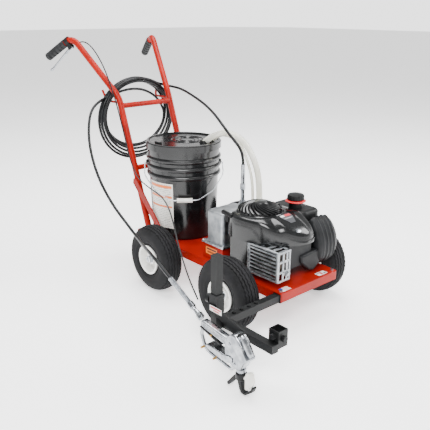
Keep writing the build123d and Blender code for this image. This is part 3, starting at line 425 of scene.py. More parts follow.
# ---- plastics and rubber ------------------------------------------------------------------
# Glossy black moulded polypropylene of the engine's cowl.
cowl_plastic = mottled(
    "gloss_black_polypropylene", "#090a0b", 0.16, 0.0,
    ("#08090a", "#0e0f10"), (0.12, 0.22), 0.05, 0.006, 0.00012,
)
dress(cowl_plastic, "blower_housing")

# Satin black nylon of caps, knobs, covers and the tip guard.
nylon = mottled(
    "satin_black_nylon", "#131415", 0.4, 0.0,
    ("#0b0b0c", "#141516"), (0.36, 0.54), 0.03, 0.0012, 0.00006, specular=0.18,
)
dress(nylon, "starter_grille", "starter_handle", "fuel_tank", "fuel_cap", "air_filter")
dress(nylon, "pressure_knob", "arm_knobs", "holder_knob", "tip_guard")

# The pail is blow-smooth black polyethylene with a waxy gloss and slight waviness.
pail_plastic = mottled(
    "black_polyethylene", "#0b0c0d", 0.2, 0.0,
    ("#090a0b", "#101112"), (0.14, 0.26), 0.08, 0.03, 0.0006,
)
dress(pail_plastic, "pail", "pail_lid", "lid_flap")

# Natural acetal of the bail's roller and the reversible tip's handle.
acetal = mottled(
    "natural_acetal", "#d8d6cf", 0.38, 0.0,
    ("#cdcbc2", "#e2e0da"), (0.32, 0.46), 0.02, 0.001, 0.00004,
)
dress(acetal, "bail_grip", "spray_tip")

# Painted black crankcase with its casting skin.
case_paint = mottled(
    "painted_crankcase", "#1c1d1f", 0.5, 0.0,
    ("#17181a", "#28292c"), (0.42, 0.6), 0.03, 0.0016, 0.0002, specular=0.18,
)
dress(case_paint, "crankcase")

# Tyre tread compound: carbon black rubber with a dry, slightly dusty face.
tread_rubber = mottled(
    "tyre_tread_rubber", "#141415", 0.78, 0.0,
    ("#101011", "#1c1c1e"), (0.68, 0.88), 0.03, 0.0012, 0.00012, specular=0.18,
)
grip_rubber = mottled(
    "moulded_grip_rubber", "#1d1e20", 0.6, 0.0,
    ("#18191a", "#2a2b2d"), (0.5, 0.68), 0.02, 0.0012, 0.0001, specular=0.18,
)
dress(grip_rubber, "grips", "drive_belt")
rim_enamel = mottled(
    "white_wheel_enamel", "#e6e6e2", 0.26, 0.0,
    ("#dddcd7", "#eeeeeb"), (0.2, 0.34), 0.05, 0.002, 0.00006,
)
for wheel in ("front_right", "front_left", "rear_right", "rear_left"):
    dress(tread_rubber, "tyre_" + wheel)
    dress(rim_enamel, "rim_" + wheel)

# ---- tyres --------------------------------------------------------------------------------
# Pneumatic 10 inch tyres, 4.10/3.50-4, moulded in one piece with saw-edged ribs.
# Each is drawn as one section with its grooves, turned round the axle.
def shape_outline(name, points):
    """A closed loop of edges through these points, left selected in edit mode."""
    bpy.ops.object.select_all(action="DESELECT")
    bpy.ops.mesh.primitive_circle_add(vertices=len(points), location=(0, 0, 0))
    piece = bpy.context.object
    piece.name = name
    for vertex, place in zip(piece.data.vertices, points):
        vertex.co = place
    bpy.ops.object.mode_set(mode="EDIT")
    bpy.ops.mesh.select_all(action="SELECT")
    return piece


def clean_faces(piece, smooth=32.0):
    """Merges doubles, turns every face outwards and smooths the soft edges."""
    bpy.ops.object.mode_set(mode="OBJECT")
    bpy.ops.object.select_all(action="DESELECT")
    piece.select_set(True)
    bpy.context.view_layer.objects.active = piece
    bpy.ops.object.mode_set(mode="EDIT")
    bpy.ops.mesh.select_all(action="SELECT")
    bpy.ops.mesh.remove_doubles(threshold=0.00002)
    bpy.ops.mesh.normals_make_consistent(inside=False)
    bpy.ops.object.mode_set(mode="OBJECT")
    bpy.ops.object.shade_smooth_by_angle(angle=math.radians(smooth))


def turned(name, profile, centre, axis, steps=64):
    """A closed profile spun round an axis."""
    piece = shape_outline(name, profile)
    bpy.ops.mesh.spin(steps=steps, angle=2 * math.pi, center=centre, axis=axis)
    clean_faces(piece)
    return piece


def finish(piece, material, body, slot_name, *replaced):
    """Gives a piece its material, its body and the CAD nodes that it stands for."""
    piece.data.materials.clear()
    piece.data.materials.append(material)
    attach(piece, body)
    if replaced:
        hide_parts(*replaced)


def use_modifier(piece, kind, **settings):
    """Adds a modifier and applies it."""
    bpy.ops.object.select_all(action="DESELECT")
    piece.select_set(True)
    bpy.context.view_layer.objects.active = piece
    modifier = piece.modifiers.new(kind.lower(), kind)
    for key, value in settings.items():
        setattr(modifier, key, value)
    bpy.ops.object.modifier_apply(modifier=modifier.name)


def plate(name, outline, depth, round_edge=0.0, segments=3):
    """A flat outline made solid by that depth vector, with rounded edges."""
    piece = shape_outline(name, outline)
    bpy.ops.mesh.edge_face_add()
    bpy.ops.mesh.extrude_region_move(TRANSFORM_OT_translate={"value": depth})
    clean_faces(piece)
    if round_edge:
        use_modifier(
            piece, "BEVEL", width=round_edge, segments=segments, limit_method="ANGLE",
            angle_limit=math.radians(25), harden_normals=False,
        )
        clean_faces(piece, 40.0)
    return piece


def block(name, low, high, round_edge, segments=3):
    """A box between two corners with rounded edges."""
    x, y, z = low
    return plate(
        name,
        [(x, y, z), (high[0], y, z), (high[0], high[1], z), (x, high[1], z)],
        (0, 0, high[2] - z),
        round_edge,
        segments,
    )


def join(name, pieces):
    """Several meshes as one object."""
    bpy.ops.object.select_all(action="DESELECT")
    for piece in pieces:
        piece.select_set(True)
    bpy.context.view_layer.objects.active = pieces[0]
    bpy.ops.object.join()
    pieces[0].name = name
    return pieces[0]


def assembled(name, pieces, smooth, material, body, slot_name, *replaced):
    """Parts joined as one finished piece."""
    piece = join(name, pieces)
    clean_faces(piece, smooth)
    finish(piece, material, body, slot_name, *replaced)
    return piece


# half of the section: distance from the middle plane and radius, in millimetres
tyre_half = [
    (5.5, 128.0), (6.3, 123.6), (8.7, 123.6), (9.5, 127.4), (16.5, 126.4), (17.2, 122.0),
    (19.6, 121.4), (20.4, 125.0), (26.6, 122.0), (27.2, 117.8), (29.4, 116.4), (30.4, 119.4),
    (35.0, 115.0), (39.6, 108.0), (42.4, 100.0), (43.0, 92.0), (42.2, 84.0), (40.6, 78.0),
    (41.0, 75.0), (39.4, 72.0), (36.6, 66.0), (34.0, 61.0), (33.6, 57.2),
]
saw_steps = 176
saw_depth = 0.0011
# the treads' ribs lie between these distances from the middle plane, beyond this radius
rib_from, rib_to, rib_radius = 0.003, 0.031, 0.112
axle_height = 0.128
wheel_places = {
    "front_right": (-0.230, -0.204),
    "front_left": (0.230, -0.204),
    "rear_right": (-0.230, 0.204),
    "rear_left": (0.230, 0.204),
}
for wheel, (wheel_x, wheel_y) in wheel_places.items():
    hub = (wheel_x, wheel_y, axle_height)
    near = [(wheel_x + a / 1000, wheel_y, axle_height + r / 1000) for a, r in tyre_half]
    far = [(wheel_x - a / 1000, wheel_y, axle_height + r / 1000) for a, r in reversed(tyre_half)]
    tyre = turned("tyre_" + wheel + "_moulded", near + far, hub, (1, 0, 0), saw_steps)
    # the ribs' edges step from side to side round the tread
    for vertex in tyre.data.vertices:
        across = vertex.co.x - wheel_x
        y, z = vertex.co.y - wheel_y, vertex.co.z - axle_height
        if rib_from < abs(across) < rib_to and math.hypot(y, z) > rib_radius:
            turn = math.atan2(z, y)
            step = round(turn / (2 * math.pi) * saw_steps)
            vertex.co.x += saw_depth if step % 4 < 2 else -saw_depth
    finish(tyre, tread_rubber, "wheel_" + wheel, "tyre_rubber", "tyre_" + wheel)

# ---- engine cowl --------------------------------------------------------------------------
# The blower housing: glossy black polypropylene, injection moulded, one soft shell whose
# hood runs forward from the fan's dome and drops over the carburettor.
cowl_ring = [
    (-140, -92), (-76, -64), (20, -64), (68, -84), (80, -150), (84, -230), (84, -292),
    (62, -336), (18, -351), (-28, -342), (-66, -314), (-110, -272), (-138, -224), (-147, -150),
]
# the outline's share of its full size at each height, in millimetres
cowl_rings = [
    (1.0, 286), (1.0, 300), (0.995, 338), (0.965, 358), (0.90, 366), (0.76, 369), (0.45, 370),
]
cowl_low = cowl_rings[0][1] / 1000
cowl = shape_outline("engine_cowl", [(x / 1000, y / 1000, cowl_low) for x, y in cowl_ring])
cowl_middle = (-0.028, -0.205, 0.3)
for (scale_a, low), (scale_b, high) in zip(cowl_rings, cowl_rings[1:]):
    bpy.ops.mesh.extrude_edges_move(TRANSFORM_OT_translate={"value": (0, 0, (high - low) / 1000)})
    factor = scale_b / scale_a
    bpy.ops.transform.resize(value=(factor, factor, 1), center_override=cowl_middle)
bpy.ops.mesh.edge_face_add()
bpy.ops.mesh.poke()
clean_faces(cowl)
use_modifier(cowl, "SUBSURF", levels=2, render_levels=2)
for vertex in cowl.data.vertices:
    forward = max(0.0, -vertex.co.y - 0.235)
    high = max(0.0, min(1.0, (vertex.co.z - 0.292) / 0.05))
    vertex.co.z -= high * 1.6 * forward**1.6
    # a crease along each side of the hood
    side = abs(vertex.co.x + 0.020)
    if vertex.co.z > 0.30 and forward > 0 and side > 0.045:
        vertex.co.z -= 0.010 * min(1.0, forward / 0.04) * min(1.0, (side - 0.045) / 0.012)
skirt = block("cowl_skirt", (-0.126, -0.190, 0.190), (-0.052, -0.098, 0.292), 0.005, 2)
cowl = assembled(
    "engine_cowl", [cowl, skirt], 50.0,
    cowl_plastic, "cart", "black_plastic", "blower_housing",
)

# ---- fan dome -----------------------------------------------------------------------------
# The starter's screen: a black moulded dome of swirling blades over a dark well,
# with a plain cap in its middle and a rolled rim.
dome_x, dome_y, dome_z = -0.038, -0.160, 0.364


def dome_height(radius):
    """The dome's height above its rim at a radius in metres."""
    return 0.037 * math.sqrt(max(0.0, 1 - (radius / 0.0865) ** 2))


rim_profile = [
    (0.0835, 0.0), (0.0838, 0.004), (0.0815, 0.0075), (0.0775, 0.0085), (0.075, 0.006),
    (0.075, 0.0),
]
rim = turned(
    "dome_rim",
    [(dome_x + r, dome_y, dome_z + h) for r, h in rim_profile],
    (dome_x, dome_y, dome_z), (0, 0, 1), 72,
)
well_profile = [
    (0.0, 0.0), (0.078, 0.0), (0.078, 0.003), (0.055, 0.020), (0.02, 0.025), (0.0, 0.0255),
]
well = turned(
    "dome_well",
    [(dome_x + r, dome_y, dome_z + h) for r, h in well_profile],
    (dome_x, dome_y, dome_z), (0, 0, 1), 48,
)
cap_profile = [
    (0.0, 0.030), (0.022, 0.029), (0.0245, 0.0335), (0.022, 0.0368), (0.012, 0.0378),
    (0.0, 0.0381),
]
cap = turned(
    "dome_cap",
    [(dome_x + r, dome_y, dome_z + h) for r, h in cap_profile],
    (dome_x, dome_y, dome_z), (0, 0, 1), 48,
)
blades = []
blade_count = 26
for number in range(blade_count):
    bpy.ops.object.select_all(action="DESELECT")
    bpy.ops.mesh.primitive_grid_add(x_subdivisions=9, y_subdivisions=1, size=2)
    blade = bpy.context.object
    for vertex in blade.data.vertices:
        share = (vertex.co.x + 1) / 2
        radius = 0.023 + 0.056 * share
        half_width = (0.0016 + 0.0022 * share) * vertex.co.y
        angle = 2 * math.pi * number / blade_count + 0.95 * share + half_width / radius
        vertex.co = (
            dome_x + radius * math.cos(angle),
            dome_y + radius * math.sin(angle),
            dome_z + dome_height(radius) - 0.0008 * vertex.co.y,
        )
    use_modifier(blade, "SOLIDIFY", thickness=0.006, offset=-1.0)
    clean_faces(blade)
    blades.append(blade)
assembled(
    "fan_dome", [rim, cap] + blades, 40.0,
    cowl_plastic, "cart", "black_plastic", "starter_grille",
)
finish(well, nylon, "cart", "dark_plastic")

# ---- starter grip -------------------------------------------------------------------------
# The recoil starter's T-grip, moulded black nylon over the rope's knot.
grip_profile = [
    (-0.031, 0.0), (-0.030, 0.0062), (-0.025, 0.0090), (0.0, 0.0080),
    (0.025, 0.0090), (0.030, 0.0062), (0.031, 0.0),
]


def lathe_on(name, profile, origin, along, steps=48):
    """A closed profile of (distance along, radius) spun round a line in any direction."""
    along = Vector(along).normalized()
    outward = along.orthogonal().normalized()
    origin = Vector(origin)
    points = [origin + along * a + outward * r for a, r in profile]
    return turned(name, points, origin, along, steps)


t_bar = lathe_on("t_bar", grip_profile, (-0.128, -0.088, 0.357), (0.15, 1, 0), 32)
stem = block("t_stem", (-0.1310, -0.096, 0.326), (-0.1190, -0.080, 0.354), 0.003, 2)
assembled(
    "starter_grip", [t_bar, stem], 40.0,
    nylon, "starter_handle", "black_plastic", "starter_handle",
)

# ---- brake lever --------------------------------------------------------------------------
# A cast aluminium lever with a ball end, pinned in the black bracket under the right grip.
lever_pin = Vector((-0.2072, 0.8003, 0.8796))
lever_end = Vector((-0.2560, 0.8980, 0.7800))
lever_length = (lever_end - lever_pin).length
lever_profile = [
    (0.002, 0.0), (0.002, 0.0060), (0.030, 0.0056), (0.085, 0.0042), (lever_length - 0.018, 0.0038),
    (lever_length - 0.012, 0.0058), (lever_length - 0.006, 0.0066), (lever_length - 0.001, 0.0048),
    (lever_length, 0.0),
]
blade = lathe_on("blade", lever_profile, lever_pin, lever_end - lever_pin, 24)
hub_profile = [(-0.0065, 0.0), (-0.0065, 0.0078), (0.0065, 0.0078), (0.0065, 0.0)]
hub = lathe_on("hub", hub_profile, lever_pin, (0.9378, 0.3471, 0), 24)
assembled(
    "brake_lever", [blade, hub], 40.0,
    polished, "trigger_lever", "cast_aluminium", "trigger_lever",
)

# ---- fuel cap -----------------------------------------------------------------------------
# A ribbed black screw cap over the tank's neck, with a red moulded ring under it.
cap_x, cap_y = 0.106, -0.196
cap_profile = [
    (0.0, 0.3880), (0.0290, 0.3880), (0.0312, 0.3905), (0.0312, 0.4020), (0.0285, 0.4065),
    (0.0140, 0.4090), (0.0, 0.4090),
]
fuel_cap = turned(
    "ribbed_fuel_cap",
    [(cap_x + r, cap_y, h) for r, h in cap_profile],
    (cap_x, cap_y, 0),
    (0, 0, 1),
    72,
)
for vertex in fuel_cap.data.vertices:
    away = Vector((vertex.co.x - cap_x, vertex.co.y - cap_y))
    if away.length > 0.030:
        step = round(math.atan2(away.y, away.x) / (2 * math.pi) * 72)
        vertex.co.x -= away.x / away.length * (0.0016 if step % 4 < 2 else 0.0)
        vertex.co.y -= away.y / away.length * (0.0016 if step % 4 < 2 else 0.0)
clean_faces(fuel_cap, 30.0)
finish(fuel_cap, nylon, "fuel_cap", "dark_plastic", "fuel_cap")
red_plastic = mottled(
    "red_moulded_polyethylene", "#c4161c", 0.35, 0.0,
    ("#b81318", "#d01c22"), (0.3, 0.42), 0.02, 0.002, 0.00005,
)
ring_profile = [
    (0.026, 0.3825), (0.0375, 0.3825), (0.0375, 0.3850), (0.0320, 0.3875), (0.026, 0.3875),
]
cap_ring = turned(
    "fuel_cap_ring",
    [(cap_x + r, cap_y, h) for r, h in ring_profile],
    (cap_x, cap_y, 0),
    (0, 0, 1),
    48,
)
finish(cap_ring, red_plastic, "fuel_cap", "dark_plastic")

# ---- air cleaner cover --------------------------------------------------------------------
# A dark ribbed plastic cover on the engine's left flank, clipped over the paper element,
# with a smaller cover over the carburettor and a flat panel between them and the muffler.
cover_side = [
    (-0.336, 0.206), (-0.338, 0.240), (-0.334, 0.272), (-0.318, 0.308), (-0.298, 0.336),
    (-0.276, 0.344), (-0.262, 0.300), (-0.262, 0.196), (-0.288, 0.170), (-0.318, 0.180),
]
cover_steps = [
    (0.000, 1.00), (0.022, 1.00), (0.025, 1.06), (0.030, 1.06), (0.033, 0.98), (0.042, 0.98),
    (0.045, 1.07), (0.050, 1.07), (0.053, 0.98), (0.062, 0.98), (0.065, 1.06), (0.070, 1.06),
    (0.073, 0.96), (0.082, 0.95), (0.085, 1.02), (0.090, 1.01), (0.093, 0.92), (0.104, 0.86),
    (0.114, 0.70), (0.120, 0.46),
]
cover = shape_outline("air_cleaner_cover", [(0.080, y, z) for y, z in cover_side])
cover_middle = (0.0, -0.298, 0.250)
for (start, scale_a), (end, scale_b) in zip(cover_steps, cover_steps[1:]):
    bpy.ops.mesh.extrude_edges_move(TRANSFORM_OT_translate={"value": (end - start, 0, 0)})
    factor = scale_b / scale_a
    bpy.ops.transform.resize(value=(1, factor, factor), center_override=cover_middle)
bpy.ops.mesh.edge_face_add()
bpy.ops.object.mode_set(mode="OBJECT")
bpy.ops.object.mode_set(mode="EDIT")
bpy.ops.mesh.select_all(action="DESELECT")
bpy.ops.mesh.select_non_manifold()
bpy.ops.mesh.edge_face_add()
clean_faces(cover)
use_modifier(cover, "SUBSURF", levels=2, render_levels=2)
clean_faces(cover, 60.0)
lower = plate(
    "carburettor_cover",
    [
        (-0.004, -0.300, 0.236), (0.098, -0.300, 0.242), (0.100, -0.300, 0.186),
        (0.066, -0.300, 0.164), (0.040, -0.300, 0.172), (0.000, -0.300, 0.208),
    ],
    (0, -0.028, 0),
    0.008,
)
panel = block("side_panel", (-0.060, -0.318, 0.196), (0.060, -0.286, 0.304), 0.004, 2)
cover = join("air_cleaner_cover", [cover, lower, panel])
cover_plastic = mottled(
    "charcoal_glass_filled_nylon", "#202123", 0.46, 0.0,
    ("#101112", "#1b1c1e"), (0.42, 0.6), 0.03, 0.0012, 0.00008, specular=0.18,
)
finish(cover, cover_plastic, "cart", "dark_plastic", "air_filter")

# ---- muffler guard ------------------------------------------------------------------------
# A die-cast aluminium box of louvres round the hot muffler, with a polished corner post,
# an open front grid and the exhaust's spigot.
guard_low, guard_high = Vector((-0.137, -0.342, 0.177)), Vector((-0.072, -0.197, 0.287))
parts = []
left, front, bottom = guard_low
right, back, top = guard_high
for number in range(7):
    z = bottom + 0.0150 + number * 0.0134
    low, high = (left + 0.001, front + 0.008, z - 0.0031), (left + 0.010, back - 0.006, z + 0.0031)
    parts.append(block("louvre", low, high, 0.0020, 2))
for y in (front + 0.001, back - 0.011):
    parts.append(block("post", (left, y, bottom), (left + 0.012, y + 0.011, top), 0.005, 4))
for z in (bottom, top - 0.008):
    low, high = (left + 0.001, front + 0.004, z), (left + 0.011, back - 0.004, z + 0.008)
    parts.append(block("sill", low, high, 0.003, 3))
# top: strips with open slots between them
for number in range(6):
    y = front + 0.004 + number * 0.0262
    low, high = (left + 0.004, y, top - 0.006), (right, y + 0.010, top - 0.001)
    parts.append(block("top_strip", low, high, 0.0018, 2))
low, high = (right - 0.010, front + 0.004, top - 0.006), (right, back - 0.002, top - 0.001)
parts.append(block("top_edge", low, high, 0.0018, 2))
# front grid
for z in (bottom, bottom + 0.032, bottom + 0.068, top - 0.009):
    low, high = (left + 0.006, front + 0.001, z), (right, front + 0.008, z + 0.008)
    parts.append(block("front_bar", low, high, 0.0025, 3))
for x in (-0.112, -0.094, right - 0.009):
    low, high = (x, front + 0.001, bottom + 0.003), (x + 0.008, front + 0.008, top - 0.003)
    parts.append(block("front_post", low, high, 0.0025, 3))
spigot_at = (-0.088, -0.336, 0.203)
spigot_profile = [
    (0.0, 0.0), (0.0125, 0.0), (0.0125, -0.004), (0.009, -0.009), (0.009, -0.016),
    (0.0065, -0.018), (0.0, -0.016),
]
spigot = turned(
    "spigot",
    [(spigot_at[0] + r, spigot_at[1] + 0.006 + h, spigot_at[2]) for r, h in spigot_profile],
    spigot_at,
    (0, 1, 0),
    32,
)
assembled(
    "muffler_guard_cast", parts + [spigot], 40.0,
    cast, "cart", "cast_aluminium", "muffler_guard",
)

# ---- paint pail ---------------------------------------------------------------------------
# A standard black high-density polyethylene pail, injection moulded, with a rolled mouth
# and three stiffening ribs near it, and two lugs for the wire bail.
pail_middle = Vector((0.0, 0.313, 0.0))
pail_profile = [
    (156, 0), (156, 119), (158, 126), (163, 130), (172, 131.5), (300, 136), (398, 140.2),
    (403, 141), (406, 147), (410, 149.4), (416, 149.4), (420, 147), (423, 141.6), (436, 142),
    (439, 148), (443, 150.4), (449, 150.4), (453, 148), (456, 142.6), (468, 143), (471, 148),
    (475, 150.6), (481, 150.6), (485, 148), (488, 143.4), (512, 144), (523.5, 144.2),
    (523.5, 141.6), (490, 140.8), (300, 133.4), (168, 128), (162, 120), (161, 0),
]
pail_body = lathe_on(
    "pail_moulded", [(a / 1000, r / 1000) for a, r in pail_profile], pail_middle, (0, 0, 1), 96
)
bail_line = Vector((math.cos(math.radians(-38)), math.sin(math.radians(-38)), 0))
lug_profile = [
    (0.1405, 0.0), (0.1405, 0.015), (0.1470, 0.0125), (0.1505, 0.011), (0.1525, 0.009),
    (0.1525, 0.0045), (0.1490, 0.0035), (0.1490, 0.0),
]
lug_height = Vector((0, 0, 0.449))
lugs = [
    lathe_on("lug", lug_profile, pail_middle + lug_height, bail_line * side, 32)
    for side in (-1, 1)
]
pail_body = assembled(
    "pail_moulded", [pail_body] + lugs, 35.0,
    pail_plastic, "cart", "black_plastic", "pail",
)

# ---- pail lid -----------------------------------------------------------------------------
# A thick two-part lid that snaps over the mouth, with three raised rings moulded in its top
# and a rubber collar where each of the two tubes goes in.
lid_middle = Vector((0.020, 0.313, 0.538))
rings = []
for radius in (0.030, 0.048, 0.064):
    profile = [
        (-0.001, radius - 0.003), (0.0016, radius - 0.0018), (0.0022, radius),
        (0.0016, radius + 0.0018), (-0.001, radius + 0.003),
    ]
    rings.append(lathe_on("ring", profile, lid_middle, (0, 0, 1), 64))
assembled("lid_rings", rings, 40.0, pail_plastic, "cart", "black_plastic")
collars = []
for collar_x, collar_y, collar_r in ((0.030, 0.222, 0.0128), (0.062, 0.214, 0.0063)):
    profile = [
        (-0.002, collar_r), (0.009, collar_r), (0.010, collar_r + 0.0016),
        (0.009, collar_r + 0.0030), (0.003, collar_r + 0.0044), (-0.002, collar_r + 0.0060),
    ]
    collars.append(lathe_on("collar", profile, (collar_x, collar_y, 0.538), (0, 0, 1), 40))
assembled("tube_collars", collars, 40.0, nylon, "cart", "dark_plastic")

# ---- labels -------------------------------------------------------------------------------
# Printed vinyl labels laid on the finished parts: plain blocks and rules of colour with
# no lettering. Each is a thin sheet on its own surface, with its print on its UV map.
def label(name, place, material, body, slot_name, grid=(2, 2)):
    """A label whose point at shares (u, v) of its width and height is place(u, v)."""
    bpy.ops.object.select_all(action="DESELECT")
    bpy.ops.mesh.primitive_grid_add(x_subdivisions=grid[0], y_subdivisions=grid[1], size=2)
    piece = bpy.context.object
    piece.name = name
    for vertex in piece.data.vertices:
        vertex.co = place((vertex.co.x + 1) / 2, (vertex.co.y + 1) / 2)
    bpy.ops.object.shade_smooth()
    finish(piece, material, body, slot_name)
    return piece


def printed(name, paper, blocks, rules=None):
    """Label stock with blocks of ink, each (colour, low u, high u, low v, high v)."""
    material, shader = start_material(name, paper, 0.38)
    math_node = "ShaderNodeMath"
    place = add_node(material, "ShaderNodeTexCoord").outputs["UV"]
    parts = add_node(material, "ShaderNodeSeparateXYZ", {"Vector": place}).outputs
    grain = add_node(material, "ShaderNodeTexNoise", {"Vector": place, "Scale": 60.0})
    faded_paper = [min(1.0, v * 0.93) for v in srgb(paper)[:3]] + [1.0]
    colour = add_node(
        material, "ShaderNodeMix", {"Factor": grain.outputs["Fac"]}, data_type="RGBA"
    )
    colour.inputs["A"].default_value = srgb(paper)
    colour.inputs["B"].default_value = faded_paper
    layers = []
    if rules:
        # grey dashes in rows stand for lines of print
        rule_colour, count, share = rules
        rows = add_node(material, math_node, {0: parts["Y"], 1: float(count)}, operation="MULTIPLY")
        in_row = add_node(material, math_node, {0: rows.outputs[0]}, operation="FRACT")
        is_line = add_node(
            material, math_node, {0: in_row.outputs[0], 1: share}, operation="LESS_THAN"
        )
        words = add_node(
            material, "ShaderNodeTexNoise", {"Vector": place, "Scale": 34.0, "Detail": 0.0}
        )
        is_word = add_node(
            material, math_node, {0: words.outputs["Fac"], 1: 0.44}, operation="GREATER_THAN"
        )
        dash_parts = {0: is_line.outputs[0], 1: is_word.outputs[0]}
        dash = add_node(material, math_node, dash_parts, operation="MULTIPLY")
        inside = add_node(
            material, math_node, {0: parts["X"], 1: 0.5, 2: 0.42}, operation="COMPARE"
        )
        layers.append((rule_colour, dash, inside))
    for ink, low_u, high_u, low_v, high_v in blocks:
        across = {0: parts["X"], 1: (low_u + high_u) / 2, 2: (high_u - low_u) / 2}
        upward = {0: parts["Y"], 1: (low_v + high_v) / 2, 2: (high_v - low_v) / 2}
        in_u = add_node(material, math_node, across, operation="COMPARE")
        in_v = add_node(material, math_node, upward, operation="COMPARE")
        layers.append((ink, in_u, in_v))
    ink_colour = colour.outputs["Result"]
    for ink, first, second in layers:
        mask = add_node(
            material, math_node, {0: first.outputs[0], 1: second.outputs[0]}, operation="MULTIPLY"
        )
        mix = add_node(material, "ShaderNodeMix", {"Factor": mask.outputs[0]}, data_type="RGBA")
        material.node_tree.links.new(ink_colour, mix.inputs["A"])
        mix.inputs["B"].default_value = srgb(ink)
        ink_colour = mix.outputs["Result"]
    material.node_tree.links.new(ink_colour, shader.inputs["Base Color"])
    return material


def on_pail(u, v):
    """The pail label wraps its right side, just above the surface."""
    angle = math.radians(163 + 50 * u)
    height = 0.205 + 0.185 * v
    radius = 0.1315 + (height - 0.172) * 0.0385 + 0.0006
    return (radius * math.cos(angle), 0.313 + radius * math.sin(angle), height)


pail_print = printed(
    "printed_vinyl_pail", "#e4e2da",
    [
        ("#d9691e", 0.04, 0.96, 0.90, 0.96), ("#d9691e", 0.04, 0.96, 0.68, 0.73),
        ("#d9691e", 0.04, 0.96, 0.47, 0.51),
    ],
    ("#8d8c88", 26, 0.42),
)
label("pail_label", on_pail, pail_print, "cart", "white_rim", (14, 4))
riser_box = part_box("pump_riser")
orange_print = printed(
    "printed_vinyl_orange", "#e8731c",
    [
        ("#1a1a1a", 0.0, 1.0, 0.93, 1.0), ("#1a1a1a", 0.0, 1.0, 0.0, 0.07),
        ("#1a1a1a", 0.0, 0.03, 0.0, 1.0), ("#1a1a1a", 0.97, 1.0, 0.0, 1.0),
        ("#1a1a1a", 0.10, 0.90, 0.60, 0.80), ("#7c3a10", 0.16, 0.84, 0.22, 0.46),
    ],
)
label(
    "riser_label",
    lambda u, v: (riser_box[0][0] - 0.0004, 0.030 - 0.066 * u, 0.172 + 0.032 * v),
    orange_print, "cart", "white_rim",
)
deck_print = printed(
    "printed_vinyl_stripes", "#e9e6e2",
    [("#3a4fa8", 0.0, 0.34, 0.45, 1.0)]
    + [("#d0454a", 0.36, 0.96, low_v, low_v + 0.10) for low_v in (0.08, 0.32, 0.56, 0.80)],
)
label(
    "deck_label_right", lambda u, v: (-0.128 + 0.040 * u, -0.362 + 0.024 * v, 0.1564),
    deck_print, "cart", "white_rim",
)
warning_print = printed(
    "printed_vinyl_warning", "#e6e6e4",
    [
        ("#b9202a", 0.36, 0.62, 0.15, 0.9), ("#1d1d1f", 0.66, 0.95, 0.15, 0.45),
        ("#1d1d1f", 0.05, 0.32, 0.6, 0.85),
    ],
)
label(
    "deck_label_left", lambda u, v: (0.060 + 0.046 * u, -0.360 + 0.022 * v, 0.1564),
    warning_print, "cart", "white_rim",
)

# ---- cowl trim ----------------------------------------------------------------------------
# A plain printed label that narrows to the front and a small plain oval badge, both on the
# cowl's hood.
def on_cowl(x, y, lift=0.0):
    """The cowl's top under a point, found by a ray from above."""
    place = cowl.ray_cast(Vector((x, y, 0.45)), Vector((0, 0, -1)))[1]
    return (x, y, place.z + lift)


shield_print = printed(
    "printed_vinyl_shield", "#3a3b3e",
    [
        ("#b3202a", 0.42, 0.95, 0.72, 0.95), ("#c9c9c6", 0.05, 0.38, 0.72, 0.95),
        ("#8b8c8f", 0.1, 0.9, 0.46, 0.56),
    ],
)


def on_hood(u, v):
    """The shield label narrows towards the front, and lies on the hood."""
    width = 0.052 * min(1.0, 0.45 + 0.9 * v)
    return on_cowl(-0.012 + width * (u - 0.5), -0.292 + 0.046 * v, 0.0006)


label("hood_label", on_hood, shield_print, "cart", "dark_plastic", (10, 10))
badge_profile = [(0.0, 0.0), (0.0, 0.012), (0.0012, 0.0115), (0.0016, 0.010), (0.0016, 0.0)]
badge_at = Vector(on_cowl(-0.020, -0.322))
badge = lathe_on("hood_badge", badge_profile, badge_at - Vector((0, 0, 0.0006)), (0, -0.45, 1), 32)
for vertex in badge.data.vertices:
    vertex.co.y = badge_at.y + (vertex.co.y - badge_at.y) * 0.62
clean_faces(badge)
finish(badge, polished, "cart", "zinc_steel")

# ---- arm studs ----------------------------------------------------------------------------
# Black hexagon screws in the sliding arm, which is bored for set positions.
studs = []
for x in (-0.372, -0.340, -0.308, -0.276, -0.244):
    studs.append(lathe_on(
        "stud",
        [(-0.001, 0.0), (-0.001, 0.0072), (0.0045, 0.0072), (0.0055, 0.0064), (0.0055, 0.0)],
        (x, -0.351, 0.1495), (0, 0, 1), 6,
    ))
assembled("arm_studs", studs, 32.0, black_coat, "gun_arm", "black_paint")

# ---- spray gun ----------------------------------------------------------------------------
# An airless gun on its side bracket: a forged and polished aluminium body, a ribbed handle,
# a chromed needle tube, and a trigger bar in its guard, pointing straight down.
gun_x = -0.458


def gun_plate(name, outline, half_width, round_edge, x=gun_x):
    """A gun piece from its side outline in millimetres."""
    points = [(x - half_width, y / 1000, z / 1000) for y, z in outline]
    return plate(name, points, (2 * half_width, 0, 0), round_edge, 4)


